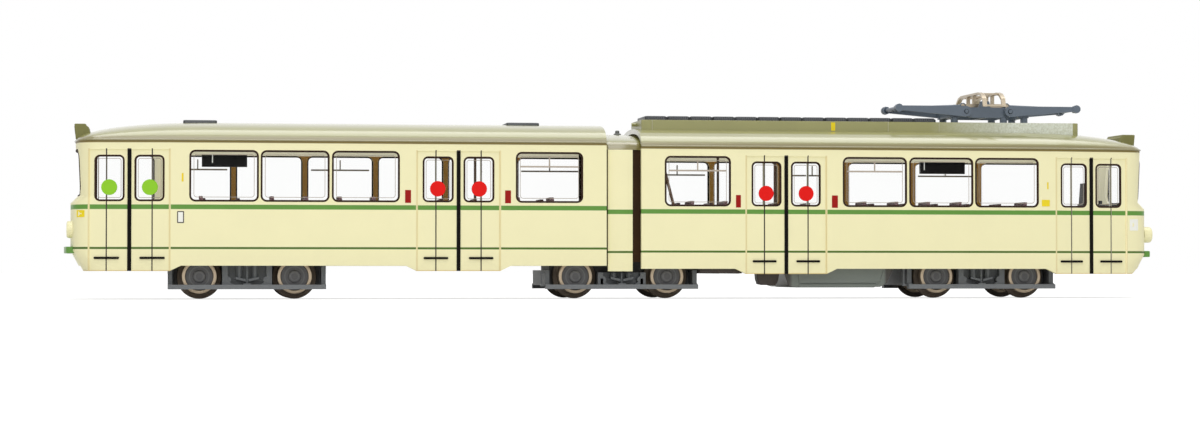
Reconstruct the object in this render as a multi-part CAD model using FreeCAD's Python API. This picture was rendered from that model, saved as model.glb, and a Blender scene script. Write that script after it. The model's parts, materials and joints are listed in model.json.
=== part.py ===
import FreeCAD, Part
import math
import os

V = FreeCAD.Vector

# Articulated model tram, scale 1:160. All lengths in millimetres.
# X runs towards the driver's end, Y to the side without doors, Z up, Z = 0 under the wheel flanges.

# ---- whole vehicle ----------------------------------------------------------
HALF_W = 7.3            # half width over the body sides
NOSE_X = 61.2           # mean distance from the joint to an end face, at the belt
NOSE = {"front": NOSE_X + 0.5, "rear": NOSE_X - 0.5}
K = NOSE_X / 61.2       # places along the cars follow the length
BUMPER_OUT = 0.70       # bumpers stand this far out of the end face
BUMPER_Z = (4.72, 5.42)
CAR_END_X = 1.96        # end of each car at the joint
RIDE = 0.33             # the rear car rides this much higher
WALL = 0.55             # body wall
TAPER_X = NOSE_X - 11.2  # the side turns inwards here
TAPER_DEG = 7.0
CORNER_R = 2.2          # end corner, seen from above
FRONT_R = 26.0          # bow of the end face, seen from above
CORNER_STEPS, BOW_STEPS = 4, 3
FIT = 0.05              # clearance of a pane in its opening
PANE_T = 0.35

# ---- heights of the front car -----------------------------------------------
SKIRT_Z = 2.77          # under the doors
BOTTOM_Z = 3.35
BELT_Z = 10.2
WIN_Z = (10.35, 15.90)
DOOR_WIN_Z = (10.37, 15.34)
DOOR_TOP_Z = 15.95
CANT_Z = 16.93
ROOF_RISE = 2.27
FLOOR_Z = 5.30
FLOOR_T = 0.60

# ---- end profile: height, set-back of the end face ---------------------------
END_PROFILE = [(SKIRT_Z, 1.20), (4.2, 0.45), (5.0, 0.0), (BELT_Z, 0.0), (11.0, 0.80), (CANT_Z, 0.52)]

# ---- openings: distance from the joint ---------------------------------------
WIN_R = 0.62
NEAR_WINDOWS = [(K * a, K * b) for a, b in ((4.63, 12.07), (24.97, 32.33), (32.66, 40.07), (40.34, 47.76))]
FAR_PITCH, FAR_PILLAR = 8.07 * K, 0.50
FAR_START = {"front": 4.56, "rear": 2.38}          # first far pillar of each car
FAR_COUNT = 6
# door: centre, half width, window from, to (from the door centre), fold line
DOORS = [(18.45 * K, 4.60, 0.58, 3.93, 2.50), (TAPER_X + 4.22, 4.34, 0.56, 3.72, 2.45)]
DOOR_RECESS, FOLD_RECESS, SEAL_RECESS = 0.12, 0.22, 0.32
FOLD_W, SEAL_W, MULLION_W = 0.10, 0.38, 0.14
SKIRT_SLOPE = 1.2
SCREEN_Z = (10.95, 16.05)
SCREEN_HALF = 4.75
SCREEN_SETBACK = 0.80

# ---- running gear ------------------------------------------------------------
BOGIE_X = 41.5 * K
WHEELBASE = 10.36
AXLE_Z = 2.50
TREAD_R, FLANGE_R = 1.90, 2.50
WHEEL_IN, WHEEL_OUT, FLANGE_T = 3.75, 5.35, 0.50
AXLE_R, RUN_FIT = 0.75, 0.05
WHEEL_SIDES = 16
BLOCK_HALF_L, BLOCK_HALF_W, BLOCK_Z = 7.90, 3.30, (1.45, 4.50)
FRAME_HALF_L = 8.60
BEAM_Y, BEAM_Z = (5.65, 6.15), (1.10, 1.60)
PIVOT_R, PIVOT_FIT, BOSS_R = 1.0, 0.10, 2.4
PIVOT_TOP = 7.0

# ---- joint section -----------------------------------------------------------
PANEL_R = 6.85          # outside of the painted side panels
DRUM_R = PANEL_R - 0.20  # outside of the dark wall
DRUM_WALL = 0.40
PANEL_X = (-1.71, 1.06)
DRUM_HALF_X = 3.2
JOINT_BOTTOM, JOINT_EAVES, JOINT_TOP = 3.07, 16.60, 18.50
POST_R = 1.8
TONGUE_HALF_W = 2.4
TONGUE_Z = {"front": 6.05, "rear": 6.75}
TONGUE_T = 0.50

# ---- roof equipment ----------------------------------------------------------
CASE_X, CASE_HALF_W, CASE_TOP = (2.6, 53.9 * K), 3.5, 20.15
SEAMS = [3.84, 31.2 * K, 37.2 * K, 44.2 * K]        # sheet joints of the casing
PANEL_PITCH, PANEL_COUNT, PANEL_START = 2.5 * K, 13, 3.15
PANTO_X, PANTO_A, PANTO_L = 43.1 * K, 2.6, 7.95
PANTO_Z, PANTO_REST = 21.45, 2.5
PIN_R, EYE_FIT = 0.22, 0.07

nodes = {}


# ---- helpers -----------------------------------------------------------------
def box(x0, x1, y0, y1, z0, z1):
    return Part.makeBox(x1 - x0, y1 - y0, z1 - z0, V(x0, y0, z0))


def turned(rows, at, axis, sides):
    """Solid of flats round an axis; rows are radius and place along the axis."""
    axis = V(*axis).normalize()
    u = (V(0, 0, 1) if abs(axis.z) < 0.9 else V(1, 0, 0)).cross(axis).normalize()
    w = axis.cross(u)
    turn = [2 * math.pi * (k + 0.5) / sides for k in range(sides)]
    rings = [[V(*at) + axis * h + u * (r * math.cos(t)) + w * (r * math.sin(t)) for t in turn] for r, h in rows]
    faces = [Part.Face(Part.makePolygon(ring + ring[:1])) for ring in (rings[0], rings[-1])]
    for a, b in zip(rings, rings[1:]):
        faces += [Part.Face(Part.makePolygon([a[k - 1], a[k], b[k], b[k - 1], a[k - 1]])) for k in range(sides)]
    shell = Part.makeShell(faces)
    shell.sewShape()
    s = Part.makeSolid(shell)
    return s if s.Volume > 0 else s.reversed()


def rod(p, q, r, sides=0):
    sides = sides or (8 if r < 0.45 else 10 if r < 0.7 else 16 if r < 1.5 else 24)
    d = V(*q) - V(*p)
    return turned([(r, 0.0), (r, d.Length)], p, d, sides)


def prism_y(points, y0, y1):
    """Polygon in X and Z, drawn out along Y."""
    pts = [V(x, y0, z) for x, z in points]
    return Part.Face(Part.makePolygon(pts + [pts[0]])).extrude(V(0, y1 - y0, 0))


def prism_x(points, x0, x1):
    """Polygon in Y and Z, drawn out along X."""
    pts = [V(x0, y, z) for y, z in points]
    return Part.Face(Part.makePolygon(pts + [pts[0]])).extrude(V(x1 - x0, 0, 0))


def corners(a0, a1, b0, b1, r, steps=2):
    """Rectangle in two directions, each corner rounded in a few straight steps."""
    out = []
    for k, (a, b) in enumerate(((a1 - r, b1 - r), (a0 + r, b1 - r), (a0 + r, b0 + r), (a1 - r, b0 + r))):
        for j in range(steps + 1):
            t = math.pi / 2 * (k + j / steps)
            out.append((a + r * math.cos(t), b + r * math.sin(t)))
    return out


def rounded(x0, x1, z0, z1, r, y0, y1):
    """Rectangle with rounded corners in X and Z, drawn out along Y."""
    return prism_y(corners(x0, x1, z0, z1, r), y0, y1)


def fuse(shapes):
    out = shapes[0]
    if len(shapes) > 1:
        out = out.fuse(shapes[1:])
    return out.removeSplitter()


def mirrored(shape):
    return shape.mirror(V(0, 0, 0), V(0, 1, 0))


def both_sides(shape):
    return fuse([shape, mirrored(shape)])


def plan(nose, inset):
    """Plan of the +Y half: bend in the side, round the corner, along the bowed end to its middle."""
    a = math.radians(TAPER_DEG)
    n, d = V(math.sin(a), math.cos(a), 0), V(math.cos(a), -math.sin(a), 0)
    start, f = V(TAPER_X, HALF_W, 0), V(nose - FRONT_R, 0, 0)
    base = start - n * CORNER_R - f
    b, c = base.dot(d), base.dot(base) - (FRONT_R - CORNER_R) ** 2
    centre = start - n * CORNER_R + d * (-b + math.sqrt(b * b - c))
    t0, t1 = math.pi / 2 - a, math.atan2(centre.y, centre.x - f.x)
    pts = [(TAPER_X - inset * math.tan(a / 2), HALF_W - inset)]
    for k in range(CORNER_STEPS + 1):
        t = t0 + (t1 - t0) * k / CORNER_STEPS
        pts.append((centre.x + (CORNER_R - inset) * math.cos(t), centre.y + (CORNER_R - inset) * math.sin(t)))
    for k in range(1, BOW_STEPS + 1):
        t = t1 * (1 - k / BOW_STEPS)
        pts.append((f.x + (FRONT_R - inset) * math.cos(t), (FRONT_R - inset) * math.sin(t)))
    return pts


def outline(z, nose, inset, x0):
    half = [(x0, HALF_W - inset)] + plan(nose, inset)
    pts = [V(x, y, z) for x, y in half + [(x, -y) for x, y in half[-2::-1]]]
    return Part.makePolygon(pts + pts[:1])


def setback(z):
    for (z0, s0), (z1, s1) in zip(END_PROFILE, END_PROFILE[1:]):
        if z <= z1:
            return s0 + (s1 - s0) * (z - z0) / (z1 - z0)
    return END_PROFILE[-1][1]


def hull(nose, inset, x0, z0=SKIRT_Z, z1=CANT_Z):
    """Solid car outline between two heights, set in from the outer face."""
    zs = [z0] + [z for z, s in END_PROFILE if z0 + 0.01 < z < z1 - 0.01] + [z1]
    parts = []
    for a, b in zip(zs, zs[1:]):
        wires = [outline(z, nose - setback(max(z, SKIRT_Z)), inset, x0) for z in (a, b)]
        parts.append(Part.makeLoft(wires, True, True))
    return fuse(parts)


def half_width(x, nose):
    """Half width of the plan at a station, for the roof sections."""
    pts = plan(nose, 0.0)
    if x <= pts[0][0]:
        return HALF_W
    for (xa, ya), (xb, yb) in zip(pts, pts[1:]):
        if x <= xb:
            return ya + (yb - ya) * (x - xa) / (xb - xa)


# ---- roof --------------------------------------------------------------------
# half section as parts of half width and rise
ROOF_SECTION = [(1.0, 0.0), (0.985, 0.20), (0.945, 0.41), (0.87, 0.585), (0.76, 0.725), (0.58, 0.865),
                (0.36, 0.955), (0.12, 1.0)]
# distance back from the end face, part of the rise kept
ROOF_END = [(10.4, 0.955), (7.6, 0.885), (5.2, 0.785), (3.3, 0.66), (1.9, 0.52), (0.95, 0.38), (0.38, 0.24),
            (0.05, 0.08)]
GUTTER_T, GUTTER_H = 0.12, 0.20


def roof_solid(nose, x0, x1=None):
    """Roof over the plan outline, rising from the gutter and rounding down to the end face."""
    tip = nose - setback(CANT_Z)
    rows = [(x0, HALF_W, 1.0), (TAPER_X - 6.0, HALF_W, 1.0)]
    rows += [(tip - d, half_width(tip - d, tip), k) for d, k in ROOF_END]
    wires = []
    for x, w, k in rows:
        half = [(w * a, CANT_Z + ROOF_RISE * k * b) for a, b in ROOF_SECTION]
        pts = [V(x, y, z) for y, z in half + [(-y, z) for y, z in half[::-1]]]
        wires.append(Part.makePolygon(pts + pts[:1]))
    return fuse([Part.makeLoft(wires[:2], True, True), Part.makeLoft(wires[1:], True, True)])


def joint_pocket():
    """Room in the end of a car's roof for the dome of the joint."""
    half = [((HALF_W - WALL) * a, CANT_Z + (ROOF_RISE - WALL) * b) for a, b in [(1.0, -0.2)] + ROOF_SECTION]
    section = prism_x(half + [(-y, z) for y, z in half[::-1]], CAR_END_X - 1.0, PANEL_R + 1)
    return section.common(rod((0, 0, CANT_Z - 1), (0, 0, JOINT_TOP + 1), PANEL_R + 0.25, 36))


def gutter(nose, x0):
    """Thin lip round the foot of the roof."""
    face = Part.Face(outline(CANT_Z, nose - setback(CANT_Z), -GUTTER_T, x0))
    return face.extrude(V(0, 0, GUTTER_H))


# ---- one car -----------------------------------------------------------------
def car_shell(side):
    nose = NOSE[side]
    shell = hull(nose, 0.0, CAR_END_X).cut(hull(nose, WALL, CAR_END_X - 1.0, SKIRT_Z - 0.5, CANT_Z + 0.5))
    low = [(0, 0), (0, BOTTOM_Z)]
    for c, hw, a, b, f in DOORS:
        x0, x1 = c - hw, c + hw
        if c < TAPER_X:
            low += [(x0 - SKIRT_SLOPE, BOTTOM_Z), (x0, SKIRT_Z), (x1, SKIRT_Z), (x1 + SKIRT_SLOPE, BOTTOM_Z)]
        else:
            low += [(x0 - SKIRT_SLOPE, BOTTOM_Z), (x0, SKIRT_Z), (x1 + 0.8, SKIRT_Z), (x1 + 1.5, BOTTOM_Z)]
    low += [(nose + 3, BOTTOM_Z), (nose + 3, 0)]
    shell = shell.cut([prism_y(low, -12, -3.9), box(0, nose + 3, -3.9, 12, 0, BOTTOM_Z)])
    cuts = []
    for x0, x1 in NEAR_WINDOWS:
        cuts.append(rounded(x0, x1, WIN_Z[0], WIN_Z[1], WIN_R, -12, -4))
    for x0, x1 in far_windows(side):
        cuts.append(rounded(x0, x1, WIN_Z[0], WIN_Z[1], WIN_R, 4, 12))
    for row in door_windows():
        cuts += row
    cuts.append(screen_cutter(nose, 0.0))
    shell = shell.cut(cuts)
    for depth, xs in ((DOOR_RECESS, "leaf"), (FOLD_RECESS, "fold"), (SEAL_RECESS, "seal")):
        core = hull(nose, depth, CAR_END_X - 1.0, SKIRT_Z - 0.1, CANT_Z)
        for c, hw, a, b, f in DOORS:
            spans = {"leaf": [(c - hw, c + hw)], "seal": [(c - SEAL_W / 2, c + SEAL_W / 2)],
                     "fold": [(c + s * f - FOLD_W / 2, c + s * f + FOLD_W / 2) for s in (-1, 1)]}[xs]
            for x0, x1 in spans:
                tool = box(x0, x1, -12, -3, SKIRT_Z - 0.2, DOOR_TOP_Z).cut(core)
                shell = shell.cut(tool)
    return shell


def far_windows(side):
    start = FAR_START[side]
    rows = [(start + k * FAR_PITCH + FAR_PILLAR / 2, start + (k + 1) * FAR_PITCH - FAR_PILLAR / 2)
            for k in range(FAR_COUNT)]
    return rows + [(max(rows[-1][1] + FAR_PILLAR, TAPER_X + 1.6), TAPER_X + 8.2)]


def door_windows(gap=0.0):
    """Cutters for the glazed halves of each door leaf, the fold line left standing."""
    out = []
    for c, hw, a, b, f in DOORS:
        row = []
        for s in (-1, 1):
            lo, hi = sorted((c + s * a, c + s * b))
            pane = rounded(lo + gap, hi - gap, DOOR_WIN_Z[0] + gap, DOOR_WIN_Z[1] - gap, 0.60, -12, -3.5)
            m = c + s * f
            row.append(pane.cut(box(m - MULLION_W / 2 - gap, m + MULLION_W / 2 + gap, -12, -3, 9, 17)))
        out.append(row)
    return out


def screen_cutter(nose, gap):
    pts = corners(-SCREEN_HALF + gap, SCREEN_HALF - gap, SCREEN_Z[0] + gap, SCREEN_Z[1] - gap, 1.1, 3)
    return prism_x(pts, nose - SCREEN_SETBACK - 1.6, nose + 3)


def upright(nose, inset, x0, z0, z1):
    """Straight-walled outline at the end screen's set-back, for the glazing."""
    face = Part.Face(outline(z0, nose - SCREEN_SETBACK, inset, x0))
    return face.extrude(V(0, 0, z1 - z0))


def car_glazing(side):
    nose = NOSE[side]
    z0, z1 = WIN_Z[0] - 0.35, WIN_Z[1] + 0.35
    x0 = 3.15
    liner = upright(nose, WALL, x0, z0, z1).cut(upright(nose, WALL + PANE_T, x0 - 1, z0 - 0.1, z1 + 0.1))
    inner = upright(nose, WALL + 0.05, CAR_END_X - 1, z0 - 0.1, z1 + 0.1)
    sides = upright(nose, 0.14, CAR_END_X, z0, z1).cut(inner)
    leaf = upright(nose, DOOR_RECESS + 0.14, CAR_END_X, z0, z1).cut(inner)
    low, high, r = WIN_Z[0] + FIT, WIN_Z[1] - FIT, WIN_R - FIT
    cutters = [rounded(a + FIT, b - FIT, low, high, r, -12, -4) for a, b in NEAR_WINDOWS]
    cutters += [rounded(a + FIT, b - FIT, low, high, r, 4, 12) for a, b in far_windows(side)]
    panes = [sides.common(c) for c in cutters + [screen_cutter(nose, FIT)]]
    for row in door_windows(FIT):
        panes += [leaf.common(c) for c in row]
    return fuse([liner] + panes)


def car_floor(side):
    z0, z1 = FLOOR_Z, FLOOR_Z + FLOOR_T
    plate = hull(NOSE[side], WALL, 5.2, z0, z1)
    lift = RIDE if side == "rear" else 0.0
    tz = TONGUE_Z[side] - lift
    tongue = fuse([box(-0.2, 9.0, -TONGUE_HALF_W, TONGUE_HALF_W, tz, tz + TONGUE_T),
                   rod((0, 0, tz), (0, 0, tz + TONGUE_T), POST_R + 1.1),
                   box(7.4, 9.0, -TONGUE_HALF_W, TONGUE_HALF_W, z0 + 0.1, tz + TONGUE_T)])
    s = fuse([plate, tongue])
    post = rod((0, 0, 0), (0, 0, 20), POST_R + PIVOT_FIT)
    pin = rod((BOGIE_X, 0, 0), (BOGIE_X, 0, 20), PIVOT_R + PIVOT_FIT)
    return s.cut([post, pin])


# benches on the door side and on the far side
SEATS = [K * x for x in (6.4, 10.2, 26.2, 29.9, 33.6, 37.3, 45.0)]
FAR_SEATS = [K * (6.4 + 3.82 * k) for k in range(11)]
SEAT_BACK_Z, SEAT_Z = 10.95, 8.3
WALL_GAP = WALL + 0.60                  # between the outside and a bench
AISLE_HALF = 2.55


def bench(x, y0, y1, z):
    """Plinth, cushion and leaning back as one outline."""
    return prism_y([(x - 0.45, z), (x + 1.0, z), (x + 1.45, SEAT_Z - 0.3), (x + 1.75, SEAT_BACK_Z),
                    (x + 1.35, SEAT_BACK_Z), (x + 0.95, SEAT_Z - 0.05), (x - 0.75, SEAT_Z),
                    (x - 0.75, SEAT_Z - 0.4), (x - 0.45, SEAT_Z - 0.4)], y0, y1)


def car_seats(side):
    z = FLOOR_Z + FLOOR_T
    last = TAPER_X if side == "front" else TAPER_X + 3
    out = [bench(x, -HALF_W + WALL_GAP, -AISLE_HALF, z) for x in SEATS if x + 2 < last]
    out += [bench(x, AISLE_HALF, HALF_W - WALL_GAP, z) for x in FAR_SEATS if x + 2 < last]
    return Part.makeCompound(out)


def to_rear(shape):
    m = shape.mirror(V(0, 0, 0), V(1, 0, 0))
    m.translate(V(0, 0, RIDE))
    return m


# ---- joint section -----------------------------------------------------------
def drum_sector(r0, r1, x0, x1, z0, z1):
    ring = rod((0, 0, z0), (0, 0, z1), r1, 40).cut(rod((0, 0, z0 - 1), (0, 0, z1 + 1), r0, 40))
    w = PANEL_R + 1
    return fuse([ring.common(box(x0, x1, a, b, z0 - 1, z1 + 1)) for a, b in ((-w, -3), (3, w))])


# radius in from the side panels, part of the dome's height
DOME = [(0.0, 0.0), (0.03, 0.26), (0.30, 0.44), (1.2, 0.62), (2.9, 0.82), (5.2, 1.0)]


def dome(inset, z_low, z_top):
    """Turned dome over the joint: upright rim, then a flattening crown."""
    rows = [(PANEL_R - inset - d, z_low + (z_top - z_low) * h) for d, h in DOME]
    return turned(rows, (0, 0, 0), (0, 0, 1), 40)


def joint_parts():
    zf = FLOOR_Z
    wall = drum_sector(DRUM_R - DRUM_WALL, DRUM_R, -DRUM_HALF_X, DRUM_HALF_X, zf - 1.2, JOINT_EAVES)
    panels = drum_sector(DRUM_R, PANEL_R, PANEL_X[0], PANEL_X[1], JOINT_BOTTOM, JOINT_EAVES)
    lower = drum_sector(DRUM_R - DRUM_WALL, DRUM_R, PANEL_X[0], PANEL_X[1], JOINT_BOTTOM, zf - 1.2)
    roof = dome(0.0, JOINT_EAVES, JOINT_TOP)
    floor = fuse([box(-DRUM_HALF_X + 0.2, DRUM_HALF_X - 0.2, -9, 9, zf, zf + FLOOR_T)
                  .common(rod((0, 0, 0), (0, 0, 9), DRUM_R - DRUM_WALL, 40)),
                  rod((0, 0, zf), (0, 0, 7.6), POST_R)])
    floor = floor.cut(rod((0, 0, 0), (0, 0, 9), PIVOT_R + PIVOT_FIT))
    top = roof.BoundBox.ZMax
    knob = turned([(0.42, top), (0.42, top + 0.22), (0.24, top + 0.26), (0.24, top + 0.58)],
                  (0.4, 0, 0), (0, 0, 1), 12)
    return fuse([wall, lower]), panels, roof, floor, knob


# ---- bogie -------------------------------------------------------------------
def wheel_profile():
    """Radius against Y for one wheel, from the axle's middle to the outer face."""
    return [(AXLE_R, 0), (AXLE_R, WHEEL_IN + 0.10), (FLANGE_R - 0.15, WHEEL_IN), (FLANGE_R, WHEEL_IN + 0.22),
            (TREAD_R + 0.05, WHEEL_IN + FLANGE_T), (TREAD_R - 0.03, WHEEL_OUT), (TREAD_R - 0.34, WHEEL_OUT),
            (TREAD_R - 0.42, WHEEL_OUT - 0.22), (0.72, WHEEL_OUT - 0.22), (0.62, WHEEL_OUT - 0.02)]


def wheelset(x):
    """Axle and two wheels, turned in one piece."""
    half = wheel_profile()
    rows = [(r, -y) for r, y in half[:0:-1]] + half[1:]
    return turned(rows, (x, 0, AXLE_Z), (0, 1, 0), WHEEL_SIDES)


def bogie_block(x, boss_top):
    s = fuse([box(x - BLOCK_HALF_L, x + BLOCK_HALF_L, -BLOCK_HALF_W, BLOCK_HALF_W, BLOCK_Z[0], BLOCK_Z[1]),
              rod((x, 0, BLOCK_Z[1] - 0.1), (x, 0, boss_top), BOSS_R),
              rod((x, 0, boss_top - 0.1), (x, 0, PIVOT_TOP), PIVOT_R)])
    return s.cut([rod((x + d, -9, AXLE_Z), (x + d, 9, AXLE_Z), AXLE_R + RUN_FIT)
                  for d in (-WHEELBASE / 2, WHEELBASE / 2)])


def bogie_frame(x, mid_top, end_top, bracket):
    """Side beams, end plates and the moulded springing between the wheels."""
    y0, y1 = BEAM_Y
    zb, zt = BEAM_Z
    end = FRAME_HALF_L
    out = [box(x - end, x + end, y0, y1, zb, zt)]
    for s in (-1, 1):
        xa, xb = sorted((x + s * (end - 0.5), x + s * end))
        out.append(box(xa, xb, 0, 5.3, zt - 0.1, end_top))
        out.append(box(xa, xb, 5.2, y0 + 0.1, zb, zt + 0.1))
        xa, xb = sorted((x + s * (BLOCK_HALF_L - 0.05), x + s * (end - 0.4)))
        out.append(box(xa, xb, 0, BLOCK_HALF_W - 0.4, zt, end_top - 0.3))
        # bracket beside each wheel, with a round shoulder
        xa, xb = sorted((x + s * 2.1, x + s * 2.7))
        out.append(box(xa, xb, 4.6, 5.75, zt - 0.1, mid_top))
        out.append(rod((x + s * 2.1, 4.7, zt + 0.55), (x + s * 2.1, 5.72, zt + 0.55), 0.38))
        out.append(prism_y([(x + s * 2.1, zt - 0.05), (x + s * 2.1, zt + 0.45), (x + s * 1.35, zt - 0.05)],
                           4.7, 5.72))
        # spring seat wings
        out.append(prism_y([(x + s * 0.15, zt + 0.35), (x + s * 1.25, zt + 0.62), (x + s * 1.3, zt + 0.85),
                            (x + s * 0.15, zt + 0.62)], 4.7, 5.85))
        out.append(rod((x + s * 0.85, 5.2, zt + 0.7), (x + s * 0.85, 5.2, mid_top), 0.34))
    out.append(box(x - 2.5, x + 2.5, BLOCK_HALF_W - 0.05, 4.75, zt - 0.1, mid_top))
    out.append(box(x - 2.6, x + 2.6, 4.6, y0 + 0.1, zb + 0.05, zt + 0.02))
    out.append(rod((x, 5.6, zt - 0.1), (x, 5.6, mid_top), 0.13))
    out.append(box(x - 0.42, x + 0.42, 4.7, 6.0, zt - 0.05, zt + 0.14))
    half = fuse(out)
    s = both_sides(half)
    if bracket:
        xb = x - end
        loop = fuse([box(xb - 0.5, xb + 0.1, -5.2, -4.75, end_top - 0.35, end_top - 0.1),
                     box(xb - 0.5, xb - 0.28, -5.2, -4.75, zb + 0.3, end_top - 0.1),
                     box(xb - 0.5, xb + 0.1, -5.2, -4.75, zb + 0.3, zb + 0.5)])
        s = fuse([s, loop])
    return s


# bogie: centre, floor underside, top of the springing, top of the end plates, end bracket
BOGIES = {
    "front": (BOGIE_X, FLOOR_Z, 4.3, 4.3, True),
    "middle": (0.0, FLOOR_Z, 2.95, 3.2, True),
    "rear": (-BOGIE_X, FLOOR_Z + RIDE, 4.5, 4.5, False),
}


# ---- pantograph --------------------------------------------------------------
def panto_points(s):
    """Base pivot, knee and head pivot on one side; s is +1 towards the driver's end."""
    a = math.radians(PANTO_REST)
    base = (PANTO_X + s * PANTO_A, PANTO_Z)
    knee = (base[0] + s * PANTO_L * math.cos(a), PANTO_Z + PANTO_L * math.sin(a))
    head = (PANTO_X + s * PANTO_A, PANTO_Z + 2 * PANTO_L * math.sin(a))
    return base, knee, head


def bar(p, q, w0, w1, y0, y1):
    """Flat tapering bar between two points in X and Z."""
    dx, dz = q[0] - p[0], q[1] - p[1]
    k = math.hypot(dx, dz)
    nx, nz = -dz / k, dx / k
    pts = [(p[0] + nx * w0, p[1] + nz * w0), (q[0] + nx * w1, q[1] + nz * w1),
           (q[0] - nx * w1, q[1] - nz * w1), (p[0] - nx * w0, p[1] - nz * w0)]
    return prism_y(pts, y0, y1)


def lower_arm(s):
    base, knee, head = panto_points(s)
    y0, y1 = 2.85, 3.30
    arm = fuse([bar(base, knee, 0.62, 0.26, y0, y1),
                rod((base[0], y0, base[1]), (base[0], y1, base[1]), 0.62),
                rod((knee[0], y0, knee[1]), (knee[0], y1 + 0.06, knee[1]), 0.47),
                rod((knee[0], 0, knee[1]), (knee[0], y1, knee[1]), PIN_R)])
    arm = arm.cut(rod((base[0], y0 - 1, base[1]), (base[0], y1 + 1, base[1]), PIN_R + EYE_FIT))
    return both_sides(arm)


def upper_arm(s):
    base, knee, head = panto_points(s)
    eye = rod((knee[0], 2.35, knee[1]), (knee[0], 2.65, knee[1]), 0.44)
    tip = rod((head[0], 1.55, head[1]), (head[0], 1.85, head[1]), 0.38)
    stay = rod((knee[0] - s * 0.3, 2.5, knee[1]), (head[0] + s * 0.25, 1.7, head[1]), 0.16, 6)
    xm = knee[0] + (head[0] - knee[0]) * 0.42
    zm = knee[1] + (head[1] - knee[1]) * 0.42
    ym = 2.5 + (1.7 - 2.5) * 0.42
    tie = rod((xm, 0, zm), (xm, ym, zm), 0.12, 6)
    arm = fuse([eye, tip, stay, tie])
    arm = arm.cut([rod((knee[0], 2, knee[1]), (knee[0], 3, knee[1]), PIN_R + EYE_FIT),
                   rod((head[0], 1, head[1]), (head[0], 2.5, head[1]), PIN_R + EYE_FIT)])
    return both_sides(arm)


def panto_base():
    x, z = PANTO_X, PANTO_Z
    low = z - 0.80
    side = [(x - 4.4, low + 0.1), (x - 3.2, low + 0.1), (x - 2.7, low + 0.45), (x - 1.9, low + 0.1), (x + 1.2, low + 0.1),
            (x + 2.6, low + 0.1), (x + 3.3, low + 0.45), (x + 3.9, low + 0.1), (x + 5.0, low + 0.1),
            (x + 5.0, z + 0.45), (x + 0.45, z + 0.50), (x + 0.30, z + 1.20), (x - 0.70, z + 1.20),
            (x - 0.95, z + 0.50), (x - 4.4, z + 0.45)]
    rail = prism_y(side, 2.15, 2.62)
    pins = [rod((x + s * PANTO_A, 2.1, z), (x + s * PANTO_A, 3.42, z), PIN_R) for s in (-1, 1)]
    feet = [rod((x + d, 2.38, CASE_TOP), (x + d, 2.38, low + 0.15), 0.42) for d in (-3.8, 2.05, 4.5)]
    cross = [box(x + d - 0.3, x + d + 0.3, 0, 2.3, low + 0.12, z + 0.1) for d in (-4.0, 0.0, 4.6)]
    return both_sides(fuse([rail] + pins + feet + cross))


SHOE_Z, SHOE_T = 23.62, 0.26
SHOE_X = 1.10                            # collector strips either side of the middle
SHOE_PATH = [(0.0, 0.0), (3.5, 0.0), (4.6, -0.22), (5.4, -0.75), (5.75, -1.75)]


def shoe(x):
    """Collector strip across the roof, its horns bent down, as joined straight runs."""
    z = SHOE_Z
    up = [(y, z + d) for y, d in SHOE_PATH]
    down = [(y - (0.26 if i == 4 else 0.12 if i > 1 else 0.0), z + d - (SHOE_T if i < 4 else 0.0))
            for i, (y, d) in enumerate(SHOE_PATH)]
    half = up + down[::-1]
    return prism_x(up + down[:0:-1] + [(-y, h) for y, h in down[1:]] + [(-y, h) for y, h in up[:0:-1]],
                   x - 0.25, x + 0.25)


def panto_head():
    """Two strips joined by loops at the horns and by the carrier that the upper arms hold."""
    b, k, h = panto_points(1)
    x, z, top = PANTO_X, h[1], SHOE_Z - SHOE_T
    carrier = [box(x - PANTO_A - 0.3, x + PANTO_A + 0.3, 1.0, 1.3, z - 0.28, z + 0.28)]
    carrier += [rod((x + s * PANTO_A, 0.95, z), (x + s * PANTO_A, 1.95, z), PIN_R) for s in (-1, 1)]
    carrier += [box(x + s * SHOE_X - 0.2, x + s * SHOE_X + 0.2, 1.0, 1.3, z, top + 0.1) for s in (-1, 1)]
    carrier += [box(x + s * SHOE_X - 0.15, x + s * SHOE_X + 0.15, 0, 1.1, z + 0.05, z + 0.25) for s in (-1, 1)]
    links = [box(x - SHOE_X, x + SHOE_X, y, y + 0.22, top + d, top + d + 0.2)
             for y, d in ((2.5, 0.03), (4.0, -0.06), (5.5, -1.47))]
    return fuse([both_sides(fuse(carrier + links)), shoe(x - SHOE_X), shoe(x + SHOE_X)])


# ---- front and rear cars -------------------------------------------------------
def place(side, shape):
    return to_rear(shape) if side == "rear" else shape


roofs = {}
for side in ("front", "rear"):
    nose = NOSE[side]
    roofs[side] = roof_solid(nose, CAR_END_X)
    bumper_zone = box(nose - 2.4, nose + 3, -4.5, 4.5, BUMPER_Z[0], BUMPER_Z[1])
    bow = Part.Face(outline(BUMPER_Z[0], nose + BUMPER_OUT, 0.0, nose - 8)).extrude(V(0, 0, BUMPER_Z[1] - BUMPER_Z[0]))
    parts = {
        "car_body": car_shell(side),
        "car_roof": fuse([roofs[side], gutter(nose, CAR_END_X)]).cut(joint_pocket()),
        "car_glazing": car_glazing(side),
        "car_floor": car_floor(side),
        "car_seats": car_seats(side),
        "bumper": bow.common(bumper_zone).cut(hull(nose, 0.0, nose - 8, SKIRT_Z, BELT_Z)),
    }
    for name, shape in parts.items():
        nodes[side + "_" + name] = place(side, shape)

# ---- lamps and boxes at the ends ----------------------------------------------
LAMP_Y, LAMP_Z, LAMP_R, LAMP_OUT = 3.55, 7.30, 0.92, 0.60
BOX_HALF_W, BOX_BACK, BOX_FRONT, BOX_RISE = 2.6, 1.9, 0.72, 2.0


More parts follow.
